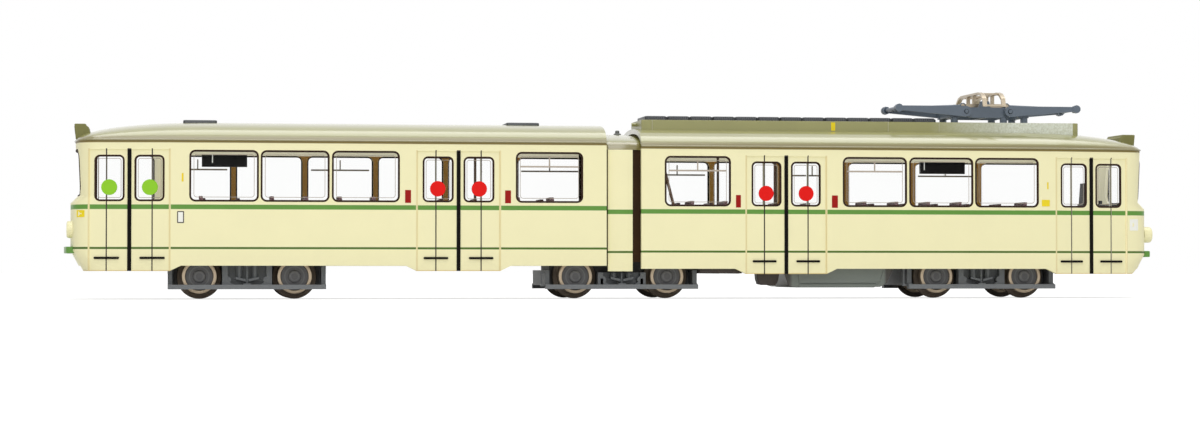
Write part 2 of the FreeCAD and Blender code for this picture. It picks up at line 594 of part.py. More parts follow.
def end_lamp(nose, y):
    """Round lamp standing out of the end face, its rim stepped."""
    s = turned([(LAMP_R, -2.5), (LAMP_R, LAMP_OUT - 0.25), (LAMP_R - 0.10, LAMP_OUT), (LAMP_R - 0.22, LAMP_OUT),
                (LAMP_R - 0.26, LAMP_OUT - 0.08)], (nose - 0.3, y, LAMP_Z), (1, 0, 0), 20)
    return s.cut(hull(nose, 0.0, nose - 8, SKIRT_Z, CANT_Z))


def destination_box(side):
    """Small box on the nose of the roof, its front face upright and its back sloping."""
    tip = NOSE[side] - setback(CANT_Z)
    x0, x1, z1 = tip - BOX_BACK, tip - BOX_FRONT, CANT_Z + BOX_RISE
    s = prism_y([(x0, CANT_Z), (x1, CANT_Z), (x1, z1), (x0 + 0.25, z1), (x0 - 0.05, z1 - 0.25), (x0 - 0.45, z1 - 0.45)],
                -BOX_HALF_W, BOX_HALF_W)
    return max(s.cut(roofs[side]).Solids, key=lambda t: t.Volume)


for side, name in (("front", "headlamps"), ("rear", "tail_lamps")):
    nodes[name] = place(side, Part.makeCompound([end_lamp(NOSE[side], s * LAMP_Y) for s in (-1, 1)]))
    nodes[side + "_destination_box"] = place(side, destination_box(side))

# ---- roof of the front car ----------------------------------------------------
half = [(CASE_X[0], CASE_HALF_W), (CASE_X[1] - 0.6, CASE_HALF_W), (CASE_X[1] - 0.18, CASE_HALF_W - 0.18),
        (CASE_X[1], CASE_HALF_W - 0.6)]
pts = [V(x, y, CANT_Z + 1.2) for x, y in half + [(x, -y) for x, y in half[::-1]]]
case = Part.Face(Part.makePolygon(pts + pts[:1])).extrude(V(0, 0, CASE_TOP - CANT_Z - 1.2))
seams = [box(x - 0.06, x + 0.06, s * CASE_HALF_W - 0.05, s * CASE_HALF_W + 0.05, CANT_Z, CASE_TOP + 1)
         for x in SEAMS for s in (-1, 1)]
case = case.cut([roofs["front"]] + seams)
case = max(case.Solids, key=lambda s: s.Volume)
nodes["roof_casing"] = fuse([case, rod((CASE_X[0] - 0.55, 0, 19.75), (CASE_X[0] + 0.1, 0, 19.75), 0.2)])
grids = [box(PANEL_START + k * PANEL_PITCH, PANEL_START + (k + 1) * PANEL_PITCH - 0.14,
             -2.7, 2.7, CASE_TOP, CASE_TOP + 0.50) for k in range(PANEL_COUNT)]
nodes["roof_resistors"] = Part.makeCompound(grids)

# ---- roof of the rear car -----------------------------------------------------
SLABS = [(10.7 * K, 1.85), (46.6 * K, 1.85)]
slabs = []
for x, h in SLABS:
    s = box(x - h, x + h, -2.3, 2.3, CANT_Z + 1.5, CANT_Z + ROOF_RISE + 0.42)
    slabs.append(max(s.cut(roofs["rear"]).Solids, key=lambda t: t.Volume))
nodes["roof_hatches"] = to_rear(Part.makeCompound(slabs))

# ---- driver's place, line signs -------------------------------------------------
z = FLOOR_Z + FLOOR_T
cab = NOSE["front"]
desk = fuse([prism_y([(cab - 4.7, z), (cab - 3.2, z), (cab - 2.9, 10.9), (cab - 3.8, 10.9), (cab - 4.7, 10.2)],
                     -3.3, 3.3),
             rod((cab - 3.7, 1.4, 10.85), (cab - 3.7, 1.4, 11.35), 0.25)])
x = cab - 7.2
chair = fuse([bench(x, 0.2, 3.2, z),
              prism_y([(x + 1.4, 10.8), (x + 1.72, 10.8), (x + 1.95, 13.4), (x + 1.60, 13.4)], 0.4, 3.0)])
nodes["drivers_place"] = Part.makeCompound([desk, chair])
x = TAPER_X + 1.9
nodes["cab_bulkhead"] = fuse([box(x, x + 0.4, 1.0, HALF_W - 1.4, z, CANT_Z), box(x, x + 0.4, -1.9, 1.2, z, 10.9)])
sign_y = -HALF_W + WALL + PANE_T        # against the inside of the glazing
SIGN_Z = (14.12, 15.42)
for side, x0, x1 in (("front", 34.15, 39.35), ("rear", 41.55, 46.45)):
    nodes[side + "_line_sign"] = place(side, box(x0 * K, x1 * K, sign_y, sign_y + 0.5, SIGN_Z[0], SIGN_Z[1]))
nodes["motor_block"] = box(25.6 * K, 37.6 * K, -2.3, 2.3, z, 9.6)

# ---- under the floor -------------------------------------------------------------
case_y, a, b = HALF_W - 1.4, 18.4 * K, 31.1 * K
ends = prism_y([(a, FLOOR_Z), (a, 3.2), (a + 0.6, 1.45), (a + 1.1, 1.30), (b - 1.5, 1.30), (b - 0.7, 1.75),
                (b, 3.2), (b, FLOOR_Z)], -case_y + 0.12, case_y - 0.12)
panel = prism_y([(a + 1.6, FLOOR_Z), (a + 1.8, 1.75), (b - 1.6, 1.75), (b - 1.15, 3.2), (b - 1.15, FLOOR_Z)],
                -case_y, case_y)
rail = prism_y([(a + 1.7, 1.24), (b - 2.2, 1.24), (b - 2.0, 1.62), (a + 1.9, 1.62)], -case_y - 0.06, case_y + 0.06)
nodes["underfloor_case"] = fuse([ends, panel, rail])
a, b, w = 15.45 * K, 18.05 * K, HALF_W - 1.9
nodes["battery_box"] = Part.makeCompound(
    [prism_y([(a, FLOOR_Z), (a, 2.9), (a + 0.25, 1.55), (b - 0.45, 1.5), (b - 0.15, 2.0), (b, 2.9), (b, FLOOR_Z)], -w, w)]
    + [prism_y([(8.8 * K, 2.85), (13.2 * K, 2.80), (13.6 * K, 2.85), (13.6 * K, FLOOR_Z), (8.8 * K, FLOOR_Z)], y, y + 1.0)
       for y in (-HALF_W + 1.1, HALF_W - 2.1)])

# ---- joint section -------------------------------------------------------------
wall, panels, jroof, jfloor, knob = joint_parts()
nodes["joint_inner_wall"] = wall
nodes["joint_side_panels"] = panels
nodes["joint_roof"] = jroof
nodes["joint_floor"] = jfloor
nodes["joint_roof_knob"] = knob

# ---- bogies and wheelsets --------------------------------------------------------
for name, (x, under_z, mid_top, end_top, bracket) in BOGIES.items():
    block = bogie_block(x, under_z - 0.08)
    nodes[name + "_bogie_block"] = block
    nodes[name + "_bogie_frame"] = bogie_frame(x, mid_top, end_top, bracket).cut(block)
    nodes[name + "_wheelset_a"] = wheelset(x - WHEELBASE / 2)
    nodes[name + "_wheelset_b"] = wheelset(x + WHEELBASE / 2)

# ---- pantograph --------------------------------------------------------------------
nodes["pantograph_base"] = panto_base()
nodes["pantograph_lower_arm_front"] = lower_arm(1)
nodes["pantograph_lower_arm_rear"] = lower_arm(-1)
nodes["pantograph_upper_arm_front"] = upper_arm(1)
nodes["pantograph_upper_arm_rear"] = upper_arm(-1)
nodes["pantograph_head"] = panto_head()

os.makedirs("parts", exist_ok=True)
for name, shape in nodes.items():
    shape.exportStep("parts/%s.step" % name)
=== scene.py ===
import json
import math
from functools import partial

import bmesh
import bpy
import numpy as np
from bpy.props import FloatProperty, FloatVectorProperty, PointerProperty
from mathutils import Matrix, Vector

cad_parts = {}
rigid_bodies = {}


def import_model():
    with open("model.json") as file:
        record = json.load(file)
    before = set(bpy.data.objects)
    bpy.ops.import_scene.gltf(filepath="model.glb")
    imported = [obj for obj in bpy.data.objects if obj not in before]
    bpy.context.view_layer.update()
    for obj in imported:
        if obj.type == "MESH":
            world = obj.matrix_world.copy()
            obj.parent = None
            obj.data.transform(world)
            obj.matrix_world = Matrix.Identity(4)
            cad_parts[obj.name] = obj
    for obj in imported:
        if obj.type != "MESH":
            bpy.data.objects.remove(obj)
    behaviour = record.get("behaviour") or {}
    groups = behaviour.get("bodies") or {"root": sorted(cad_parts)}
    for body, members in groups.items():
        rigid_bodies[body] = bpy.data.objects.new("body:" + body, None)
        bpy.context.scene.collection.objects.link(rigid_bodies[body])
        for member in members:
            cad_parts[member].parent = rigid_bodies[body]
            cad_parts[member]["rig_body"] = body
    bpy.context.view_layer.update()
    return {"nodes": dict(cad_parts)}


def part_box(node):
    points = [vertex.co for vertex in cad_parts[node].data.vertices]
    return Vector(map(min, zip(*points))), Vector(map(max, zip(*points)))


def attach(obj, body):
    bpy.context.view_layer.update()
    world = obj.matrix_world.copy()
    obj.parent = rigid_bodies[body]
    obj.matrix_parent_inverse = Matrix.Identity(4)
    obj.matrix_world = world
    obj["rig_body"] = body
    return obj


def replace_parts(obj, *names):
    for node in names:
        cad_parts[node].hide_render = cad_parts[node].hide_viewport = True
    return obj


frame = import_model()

bl_info = {
    "name": "Model tram finishes",
    "version": (1, 0, 0),
    "blender": (4, 5, 0),
    "location": "View3D > Sidebar > Tram",
    "description": "Paint, glass, rubbers, lamps and small fittings for an articulated model tram",
    "category": "Object",
}

MM = 0.001

# ---- plan of the body, in millimetres, X from the joint, as the shells are drawn ----
# a car is 1 for the front one, towards +X, and -1 for the rear one; the door side is -1
CARS = {1: "front_car", -1: "rear_car"}
BOGIES = ("front", "middle", "rear")
HALF_W, RIDE = 7.3, 0.33
LIFT = {1: 0.0, -1: RIDE}
NOSE_X = {1: 61.7, -1: 60.7}
TAPER_X, TAPER = 50.0, math.radians(7.0)
CORNER_R, FRONT_R = 2.2, 26.0
ROOF_RISE, ROOF_SETBACK, CAR_END_X = 2.27, 0.52, 1.96
ROOF_WALL, ROOF_POWER, ROOF_FALL = 0.55, 0.858, (0.1516, 0.00688, 0.000081)
SKIRT_Z, DOOR_TOP_Z, CANT_Z = 2.77, 15.95, 16.93
WINDOW_Z, DOOR_GLASS_Z, SCREEN_Z = (10.35, 15.90), (10.37, 15.34), (10.95, 16.05)
# the end face at glass height stands back from the nose, and leans out again up to the cant
SCREEN_BACK, SCREEN_LEAN, SCREEN_FOOT_Z = 0.80, 0.28, 11.0
NEAR_WINDOWS = [(4.63, 12.07), (24.97, 32.33), (32.66, 40.07), (40.34, 47.76)]
FAR_START = {1: 4.56, -1: 2.38}
FAR_PITCH, FAR_PILLAR, FAR_COUNT, FAR_LAST = 8.07, 0.50, 6, (51.6, 58.2)
# door: centre, half width, glass from and to, fold line (the last three from the centre)
DOORS = [(18.45, 4.60, 0.58, 3.93, 2.50), (54.22, 4.34, 0.56, 3.72, 2.45)]
SEAL_HALF_W, GRIP_HALF_L, GRIP_Z, STRIP_HALF_W = 0.21, 1.36, (4.07, 4.31), 0.055
WHEEL_X, WHEEL_Z = (5.18, 36.32, 46.68), 2.5
LAMP_Y, LAMP_Z, LAMP_OUT = 3.55, 7.30, {1: 0.36, -1: 0.0}
CASE_TOP_Z, COVER_X, COVER_PITCH, COVER_COUNT, COVER_GAP = 20.15, 3.16, 2.61, 13, 0.16
COVER_STEPS = ((0.0, CASE_TOP_Z), (0.0, 20.56), (0.05, 20.62), (0.16, 20.64))
HATCH_X, HATCH_HALF_L = (10.7, 46.6), 1.85
HATCH_STEPS = ((0.0, 18.5), (0.0, 19.36), (0.05, 19.42), (0.14, 19.44))
PILLAR_Z, PILLAR_LAST, SHEEN_LAST, POLE_Z = (10.36, 15.88), 50.4, 53.1, (5.95, 16.9)
SIGN_R = 0.86


def rgb(red, green, blue):
    """Colour as 0 to 255 screen values, made linear."""
    c = np.array([red, green, blue], float) / 255.0
    return tuple(float(v) for v in np.where(c <= 0.04045, c / 12.92, ((c + 0.055) / 1.055) ** 2.4))


def tint(shade, factor):
    """A linear colour made darker or lighter."""
    return tuple(min(1.0, c * factor) for c in shade)


# ---- settings ---------------------------------------------------------------------


def colour(name, description, value):
    return FloatVectorProperty(name=name, description=description, subtype="COLOR", size=3, min=0.0, max=1.0,
                               default=rgb(*value))


def length(name, description, millimetres):
    return FloatProperty(name=name, description=description, default=millimetres * MM, min=0.0,
                         unit="LENGTH", precision=6)


class TramColours(bpy.types.PropertyGroup):
    cream: colour("Cream", "Body paint", (238, 232, 186))
    stripe: colour("Stripe", "Waist band and lower line", (88, 140, 50))
    roof: colour("Roof", "Roof and roof boxes", (141, 139, 84))
    inside: colour("Inside", "Window pillars seen from inside", (142, 104, 44))
    rubber: colour("Rubber", "Window and door rubbers", (44, 26, 16))
    chassis: colour("Chassis", "Floor and pivots", (60, 58, 57))
    bogie: colour("Bogie", "Moulded bogie sides", (92, 95, 98))
    tyre: colour("Tyre", "Nickel of the wheel rims", (190, 172, 148))
    wheel: colour("Wheel", "Moulded wheel discs", (82, 82, 84))
    arm: colour("Pantograph", "Frame and arms of the pantograph", (88, 99, 112))
    head: colour("Collector", "Etched collector head", (186, 172, 150))
    seat: colour("Seat", "Benches", (104, 76, 84))
    warning: colour("Warning", "Small yellow plates", (232, 208, 40))
    stop: colour("Stop", "Round red door signs and red plates", (222, 14, 8))
    go: colour("Entry", "Round green door signs", (140, 200, 44))


class TramSizes(bpy.types.PropertyGroup):
    band_low: length("Band foot", "Lower edge of the waist band", 9.48)
    band_high: length("Band head", "Upper edge of the waist band", 9.99)
    line_low: length("Line foot", "Lower edge of the thin line", 5.15)
    line_high: length("Line head", "Upper edge of the thin line", 5.38)
    rubber: length("Rubber width", "Width of a window rubber seen from the side", 0.22)
    sash: length("Sash inset", "Distance from the opening to the inner sash line", 0.46)
    pole: length("Pole diameter", "Grab poles in the saloon", 0.30)


# ---- shader building ----------------------------------------------------------------


class Shader:
    """Short ways to add nodes to one tree."""

    def __init__(self, tree):
        self.tree = tree

    def add(self, kind, sockets=None, **settings):
        node = self.tree.nodes.new(kind)
        for key, value in settings.items():
            setattr(node, key, value)
        for key, value in (sockets or {}).items():
            if isinstance(value, bpy.types.NodeSocket):
                self.link(value, node.inputs[key])
            else:
                node.inputs[key].default_value = value
        return node

    def math(self, operation, a, b=0.0, c=0.0, clamp=False):
        return self.add("ShaderNodeMath", {0: a, 1: b, 2: c}, operation=operation,
                        use_clamp=clamp).outputs[0]

    def times(self, a, b):
        return self.math("MULTIPLY", a, b)

    def minus(self, a, b):
        return self.math("SUBTRACT", a, b)

    def scaled(self, value, factor, plus, clamp=False):
        return self.math("MULTIPLY_ADD", value, factor, plus, clamp)

    def wave(self, value, rate):
        """Ripples between 0 and 1."""
        return self.scaled(self.math("SINE", self.times(value, rate)), 0.5, 0.5)

    def noise(self, vector, scale, detail, rough=0.5):
        return self.add("ShaderNodeTexNoise", {"Vector": vector, "Scale": scale, "Detail": detail,
                                               "Roughness": rough}).outputs[0]

    def link(self, out, into):
        self.tree.links.new(out, into)

    def most(self, values):
        out = values[0]
        for value in values[1:]:
            out = self.math("MAXIMUM", out, value)
        return out

    def mix(self, factor, a, b, blend="MIX"):
        def full(v):
            return v if isinstance(v, bpy.types.NodeSocket) or len(v) == 4 else (*v, 1.0)
        return self.add("ShaderNodeMix", {"Factor": factor, 6: full(a), 7: full(b)}, data_type="RGBA",
                        blend_type=blend).outputs[2]

    def group(self, name, sockets):
        return self.add("ShaderNodeGroup", sockets, node_tree=bpy.data.node_groups[name])

    def band(self, value, low, high, soft=0.02):
        return self.group("Tram band", {"Value": value, "Low": low, "High": high, "Soft": soft}).outputs[0]

    def line(self, value, middle, half, soft):
        """A band about a middle."""
        return self.band(value, middle - half, middle + half, soft)

    def bump(self, height, strength, distance):
        return self.add("ShaderNodeBump", {"Height": height, "Strength": strength,
                                           "Distance": distance}).outputs["Normal"]


def new_group(name, inputs, outputs):
    """A node group with its sockets, which are numbers apart from Point."""
    tree = bpy.data.node_groups.new(name, "ShaderNodeTree")
    for label in (*inputs, *outputs):
        kind = "NodeSocketVector" if label == "Point" else "NodeSocketFloat"
        way = "INPUT" if label in inputs else "OUTPUT"
        socket = tree.interface.new_socket(name=label, in_out=way, socket_type=kind)
        if inputs.get(label) is not None:
            socket.default_value = inputs[label]
    return Shader(tree), tree.nodes.new("NodeGroupInput").outputs, tree.nodes.new("NodeGroupOutput").inputs


def build_groups():
    """The effects that several finishes share."""
    # place: object coordinates in millimetres, mirrored on to one car at the lower ride height
    s, given, out = new_group("Tram place", {"Ride": 0.0}, ["Along", "Across", "Up", "Point"])
    point = s.add("ShaderNodeVectorMath", {0: s.add("ShaderNodeTexCoord").outputs["Object"],
                                           1: (1000.0, 1000.0, 1000.0)}, operation="MULTIPLY").outputs[0]
    axes = s.add("ShaderNodeSeparateXYZ", {0: point}).outputs
    s.link(s.math("ABSOLUTE", axes[0]), out["Along"])
    s.link(axes[1], out["Across"])
    s.link(s.minus(axes[2], given["Ride"]), out["Up"])
    s.link(point, out["Point"])

    # band: one between two limits, with soft edges
    s, given, out = new_group("Tram band", {"Value": 0.0, "Low": 0.0, "High": 1.0, "Soft": 0.02}, ["Mask"])

    def step(edge, sign):
        inner = s.times(s.minus(given["Value"], given[edge]), sign)
        return s.math("ADD", s.math("DIVIDE", inner, given["Soft"]), 0.5, clamp=True)

    s.link(s.times(step("Low", 1.0), step("High", -1.0)), out["Mask"])

    # moulded skin: fine grain and broad flow marks of moulded and sprayed plastic
    s, given, out = new_group("Tram moulded skin", {"Point": None, "Grain": 9.0}, ["Shade", "Height"])
    fine = s.noise(given["Point"], given["Grain"], 3.0, 0.6)
    broad = s.noise(given["Point"], 0.35, 2.0)
    s.link(s.math("ADD", s.times(fine, 0.4), s.times(broad, 0.6)), out["Shade"])
    s.link(fine, out["Height"])

    # low speckle: a browner tone that is strongest low down and broken into speckles
    s, given, out = new_group("Tram low speckle", {"Point": None, "Up": 0.0, "Low": 1.0, "High": 4.0}, ["Mask"])
    speck = s.noise(given["Point"], 2.2, 4.0, 0.7)
    fall = s.math("DIVIDE", s.minus(given["High"], given["Up"]),
                  s.minus(given["High"], given["Low"]), clamp=True)
    s.link(s.times(fall, s.scaled(speck, 2.4, -0.7, clamp=True)), out["Mask"])

    # inner face: one where a wall looks towards the middle of the car
    s, given, out = new_group("Tram inner face", {"Along": 0.0}, ["Mask"])
    coords = s.add("ShaderNodeTexCoord").outputs
    place = s.add("ShaderNodeSeparateXYZ", {0: coords["Object"]}).outputs
    face = s.add("ShaderNodeSeparateXYZ", {0: coords["Normal"]}).outputs
    side = s.times(face[1], s.math("SIGN", place[1]))
    end = s.times(face[0], s.math("SIGN", place[0]))
    at_end = s.times(s.math("LESS_THAN", end, -0.5), s.math("GREATER_THAN", given["Along"], 50.0))
    s.link(s.math("MAXIMUM", s.math("LESS_THAN", side, -0.35), at_end), out["Mask"])


def material(name):
    made = bpy.data.materials.new(name)
    made.use_nodes = True
    shader = made.node_tree.nodes["Principled BSDF"]
    return made, Shader(made.node_tree), shader


def feed(s, shader, **links):
    for key, value in links.items():
        socket = shader.inputs[key.replace("_", " ")]
        if isinstance(value, bpy.types.NodeSocket):
            s.link(value, socket)
        else:
            socket.default_value = value


def surface(name, ride, grain):
    """A new material, with where a point is and the moulded skin there."""
    made, s, shader = material(name)
    place = s.group("Tram place", {"Ride": ride}).outputs
    skin = s.group("Tram moulded skin", {"Point": place["Point"], "Grain": grain}).outputs
    return made, s, shader, place, skin


def low_speckle(s, place, low, high):
    """Where the browner tone lies: in full below low, and none above high."""
    sockets = {"Point": place["Point"], "Up": place["Up"], "Low": low, "High": high}
    return s.group("Tram low speckle", sockets).outputs[0]


def moulded(name, base, rough=0.5, spread=0.10, grain=9.0, bump=0.12, metal=0.0, low_tone=None, ride=0.0,
            specular=0.5):
    """Moulded or sprayed surface: its colour and gloss wander a little and fine grain lifts it."""
    made, s, shader, place, skin = surface(name, ride, grain)
    paint = s.mix(skin["Shade"], tint(base, 1.0 - spread), tint(base, 1.0 + spread))
    if low_tone:
        mask = low_speckle(s, place, *low_tone[:2])
        paint = s.mix(s.times(mask, low_tone[2]), paint, (0.33, 0.29, 0.22))
    feed(s, shader, Base_Color=paint, Metallic=metal, Specular_IOR_Level=specular,
         Roughness=s.scaled(skin["Shade"], 0.14, rough - 0.07),
         Normal=s.bump(skin["Height"], bump, 0.00004))
    return made, s, shader, place, paint


def body_paint(name, ride, doors, colours, sizes):
    """Cream paint with the waist band and the thin line, broken at the door frames; grooves, frame edges and
    the bare inside have their own tones. A painted shadow line lies under the roof, the far pillars inside
    are brown partly as painted shade, and the inside faces glow as painted light."""
    made, s, shader, place, skin = surface(name, ride, 7.0)
    paint = s.mix(skin["Shade"], tint(colours.cream, 0.955), tint(colours.cream, 1.03))
    up, along = place["Up"], place["Along"]
    thin = s.band(up, sizes.line_low / MM, sizes.line_high / MM, 0.05)
    bands = s.math("MAXIMUM", s.band(up, sizes.band_low / MM, sizes.band_high / MM, 0.05), thin)
    near = s.math("LESS_THAN", place["Across"], 0.0)
    if doors:
        frames, lines = [], []
        for centre, half, _, _, fold in DOORS:
            frames += [s.line(along, centre + sign * half, 0.10, 0.05) for sign in (-1, 1)]
            lines += [s.line(along, centre + sign * fold, 0.07, 0.03) for sign in (-1, 1)]
            lines.append(s.line(along, centre, SEAL_HALF_W, 0.04))
        frames = s.times(s.most(frames), near)
        bands = s.times(bands, s.minus(1.0, frames))
        height = s.band(up, SKIRT_Z - 0.3, DOOR_TOP_Z + 0.12, 0.05)
        groove = s.times(s.times(s.most(lines), near), height)
        edge = s.times(s.times(frames, height), 0.36)
        foot = s.times(s.band(up, 0.0, SKIRT_Z + 0.10, 0.06), near)
        edge = s.math("MAXIMUM", edge, s.times(foot, 0.75))
    green = s.mix(skin["Shade"], tint(colours.stripe, 0.88), tint(colours.stripe, 1.1))
    paint = s.mix(bands, paint, green)
    paint = s.mix(s.times(thin, bands), paint, rgb(66, 98, 16))
    # painted shadow: a dark olive-brown line on the body just under the roof's lip
    paint = s.mix(s.band(up, 16.72, 16.99, 0.08), paint, rgb(120, 104, 50))
    if doors:
        paint = s.mix(edge, paint, rgb(206, 176, 104))
        paint = s.mix(groove, paint, rgb(34, 22, 14))
    # darker and browner towards the bottom, in speckles
    paint = s.mix(s.times(low_speckle(s, place, 2.0, 5.5), 0.10), paint, rgb(180, 160, 116))
    inner = s.group("Tram inner face", {"Along": along}).outputs[0]
    # the far-side pillars seen from inside are brown: partly the brown of the bare shell, partly painted
    # shade of the unlit inside
    brown = s.mix(skin["Height"], tint(colours.inside, 0.6), tint(colours.inside, 1.3))
    pillar = s.times(s.band(up, *PILLAR_Z, 0.03), s.math("LESS_THAN", along, PILLAR_LAST))
    pillar = s.times(pillar, s.minus(1.0, near))
    bare = s.mix(pillar, rgb(228, 224, 200), brown)
    paint = s.mix(inner, paint, bare)
    # painted light: the inside faces glow in their own tones, standing in for light through the thin cream
    # plastic, so the inside is never dark
    feed(s, shader, Base_Color=paint, Specular_IOR_Level=0.45,
         Emission_Color=s.mix(inner, (0.0, 0.0, 0.0), bare), Emission_Strength=0.45,
         Roughness=s.scaled(skin["Shade"], 0.12, 0.36),
         Normal=s.bump(skin["Height"], 0.10, 0.00003))
    return made


def roof_paint(name, ride, colours, seams=(), shine=0.30, gloss=1.0, sheen=None):
    """Olive roof paint, darker at the gutter, partly as painted shade on the steep lower roof; seams are pale
    joints across the surface, and sheen gives the stretch over which the paint turns pale in patches, a
    painted sheen."""
    made, s, shader, place, skin = surface(name, ride, 6.0)
    paint = s.mix(skin["Shade"], tint(colours.roof, 0.90), tint(colours.roof, 1.16))
    # darker at the gutter: partly the darker green of the lip, partly painted shade on the steep lower roof
    gutter_and_shade = s.band(place["Up"], CANT_Z - 0.4, CANT_Z + 0.52, 0.22)
    paint = s.mix(s.times(gutter_and_shade, 0.75), paint, rgb(112, 100, 44))
    if seams:
        joint = s.most([s.line(place["Along"], x, 0.05, 0.05) for x in seams])
        paint = s.mix(s.times(joint, 0.45), paint, rgb(214, 212, 180))
    if sheen:
        # painted sheen: pale patches over the rear stretch of the casing stand for the shine of its more
        # metallic finish
        sheen_patches = s.scaled(s.noise(place["Point"], 5.0, 5.0, 0.75), 3.0, -1.1, clamp=True)
        reach = s.math("DIVIDE", s.minus(place["Along"], sheen[0]), sheen[1] - sheen[0], clamp=True)
        reach = s.times(reach, s.math("LESS_THAN", place["Along"], SHEEN_LAST))
        paint = s.mix(s.times(reach, s.scaled(sheen_patches, 0.5, 0.45)), paint, rgb(232, 238, 230))
    feed(s, shader, Base_Color=paint, Specular_IOR_Level=0.8,
         Roughness=s.scaled(skin["Shade"], 0.12, shine - 0.06),
         Normal=s.bump(skin["Height"], 0.10, 0.00003))
    shader.inputs["Coat Weight"].default_value = gloss
    shader.inputs["Coat Roughness"].default_value = 0.16
    return made


def show_by(s, share, first, second):
    """Mixes two shaders into the surface."""
    both = s.add("ShaderNodeMixShader", {0: share, 1: first.outputs[0], 2: second.outputs[0]})
    s.link(both.outputs[0], s.tree.nodes["Material Output"].inputs["Surface"])


def clear(name, tone):
    """Clear moulded plastic that lets lamps through."""
    made, s, shader, _, skin = surface(name, 0.0, 1.6)
    feed(s, shader, Base_Color=s.mix(skin["Shade"], tint(tone, 0.985), tone), Roughness=0.02,
         Normal=s.bump(skin["Height"], 0.02, 0.00002))
    shader.inputs["Transmission Weight"].default_value = 1.0
    shader.inputs["IOR"].default_value = 1.12
    path = s.add("ShaderNodeLightPath").outputs
    through = s.math("MAXIMUM", path["Is Shadow Ray"], path["Is Diffuse Ray"])
    show_by(s, through, shader, s.add("ShaderNodeBsdfTransparent", {"Color": (*tone, 1.0)}))
    return made


def dress(names, made):
    """Gives CAD nodes a finish."""
    for name in names:
        node = frame["nodes"][name]
        node.data.materials.clear()
        node.data.materials.append(made)


def add_object(name, data):
    made = bpy.data.objects.new(name, data)
    bpy.context.scene.collection.objects.link(made)
    return made


def finish_mesh(mesh, made, angle):
    """Smooth faces, sharp edges above an angle in degrees, and the one material."""
    mesh.polygons.foreach_set("use_smooth", np.ones(len(mesh.polygons), bool))
    mesh.set_sharp_from_angle(angle=math.radians(angle))
    mesh.materials.clear()
    mesh.materials.append(made)


def softened(name, made, angle=35.0, bevel=0.0):
    """A merged copy of a CAD node whose gentle turns shade as curves and whose sharp edges are broken by a
    small round, in place of the node."""
    node = frame["nodes"][name]
    mesh = bpy.data.meshes.new(name + "_moulding")
    work = bmesh.new()
    work.from_mesh(node.data)
    bmesh.ops.remove_doubles(work, verts=work.verts, dist=0.000002)
    work.to_mesh(mesh)
    work.free()
    if "custom_normal" in mesh.attributes:
        mesh.attributes.remove(mesh.attributes["custom_normal"])
    mesh.update()
    finish_mesh(mesh, made, angle)
    piece = add_object(mesh.name, mesh)
    if bevel:
        edge = piece.modifiers.new("Broken edges", "BEVEL")
        edge.width, edge.segments, edge.limit_method = bevel * MM, 2, "ANGLE"
        edge.angle_limit, edge.harden_normals = math.radians(angle), True
    piece.modifiers.new("Flat faces", "WEIGHTED_NORMAL").keep_sharp = True
    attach(piece, node["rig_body"])
    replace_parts(piece, name)


# ---- surfaces --------------------------------------------------------------------------


def corner_points(nose):
    """Centre of the end corner, and the two points where it meets the tapered side and the bowed end."""
    n = np.array([math.sin(TAPER), math.cos(TAPER)])
    d = np.array([math.cos(TAPER), -math.sin(TAPER)])
    f = np.array([nose - FRONT_R, 0.0])
    base = np.array([TAPER_X, HALF_W]) - n * CORNER_R - f
    b, c = base @ d, base @ base - (FRONT_R - CORNER_R) ** 2
    centre = f + base + d * (-b + math.sqrt(b * b - c))
    u = (centre - f) / np.linalg.norm(centre - f)
    return centre, centre + n * CORNER_R, f + u * FRONT_R


def flank(nose, along):
    """Half width and lean of a side: straight, then a taper line y = W - tan(t)(x - x0), then the corner
    circle y = yc + sqrt(r^2 - (x - xc)^2), whose lean is the angle of its radius."""
    x = np.asarray(along, float)
    corner, start, _ = corner_points(nose)
    turn = np.clip((x - corner[0]) / CORNER_R, -1.0, 0.999)
    straight = HALF_W - math.tan(TAPER) * np.maximum(x - TAPER_X, 0.0)
    on_corner = x > start[0]
    width = np.where(on_corner, corner[1] + CORNER_R * np.sqrt(1.0 - turn ** 2), straight)
    lean = np.where(on_corner, np.arcsin(turn), np.where(x > TAPER_X, TAPER, 0.0))
    return width, lean


def plan_path(nose, x0, arc=10, run=12):
    """The plan from the joint end of one side round the nose to the other: points and outward directions.
    Straight, taper, corner circle, bow circle, then the same mirrored."""
    corner = corner_points(nose)[0]
    f = np.array([nose - FRONT_R, 0.0])
    t0, t1 = math.pi / 2 - TAPER, math.atan2(corner[1], corner[0] - f[0])
    turn = np.linspace(t0, t1, arc)
    bow = np.linspace(t1, 0.0, arc)[1:]
    face = np.stack([np.cos(turn), np.sin(turn)], -1)
    front = np.stack([np.cos(bow), np.sin(bow)], -1)
    xs = np.linspace(x0, TAPER_X, run)
    sides = np.stack([xs, np.full(run, HALF_W)], -1)
    pts = np.vstack([sides, corner + CORNER_R * face, f + FRONT_R * front])
    out = np.vstack([np.tile([0.0, 1.0], (run, 1)), face, front])
    low = np.array([1.0, -1.0])
    return np.vstack([pts, pts[-2::-1] * low]), np.vstack([out, out[-2::-1] * low])


def plan_width(nose, along):
    """Half width of the whole plan at a station, the bow y = sqrt(R^2 - (x - xf)^2) included."""
    bow = np.sqrt(np.maximum(FRONT_R ** 2 - (along - nose + FRONT_R) ** 2, 0.0))
    return np.where(along > corner_points(nose)[2][0], bow, flank(nose, along)[0])


def on_side(car, side, along, up, out):
    """Point on a car's side: `out` millimetres proud of the face, measured along the face's own normal."""
    width, lean = flank(NOSE_X[car], along)
    x = car * (along + out * np.sin(lean))
    y = side * (width + out * np.cos(lean))
    return np.stack(np.broadcast_arrays(x, y, up + LIFT[car]), -1)


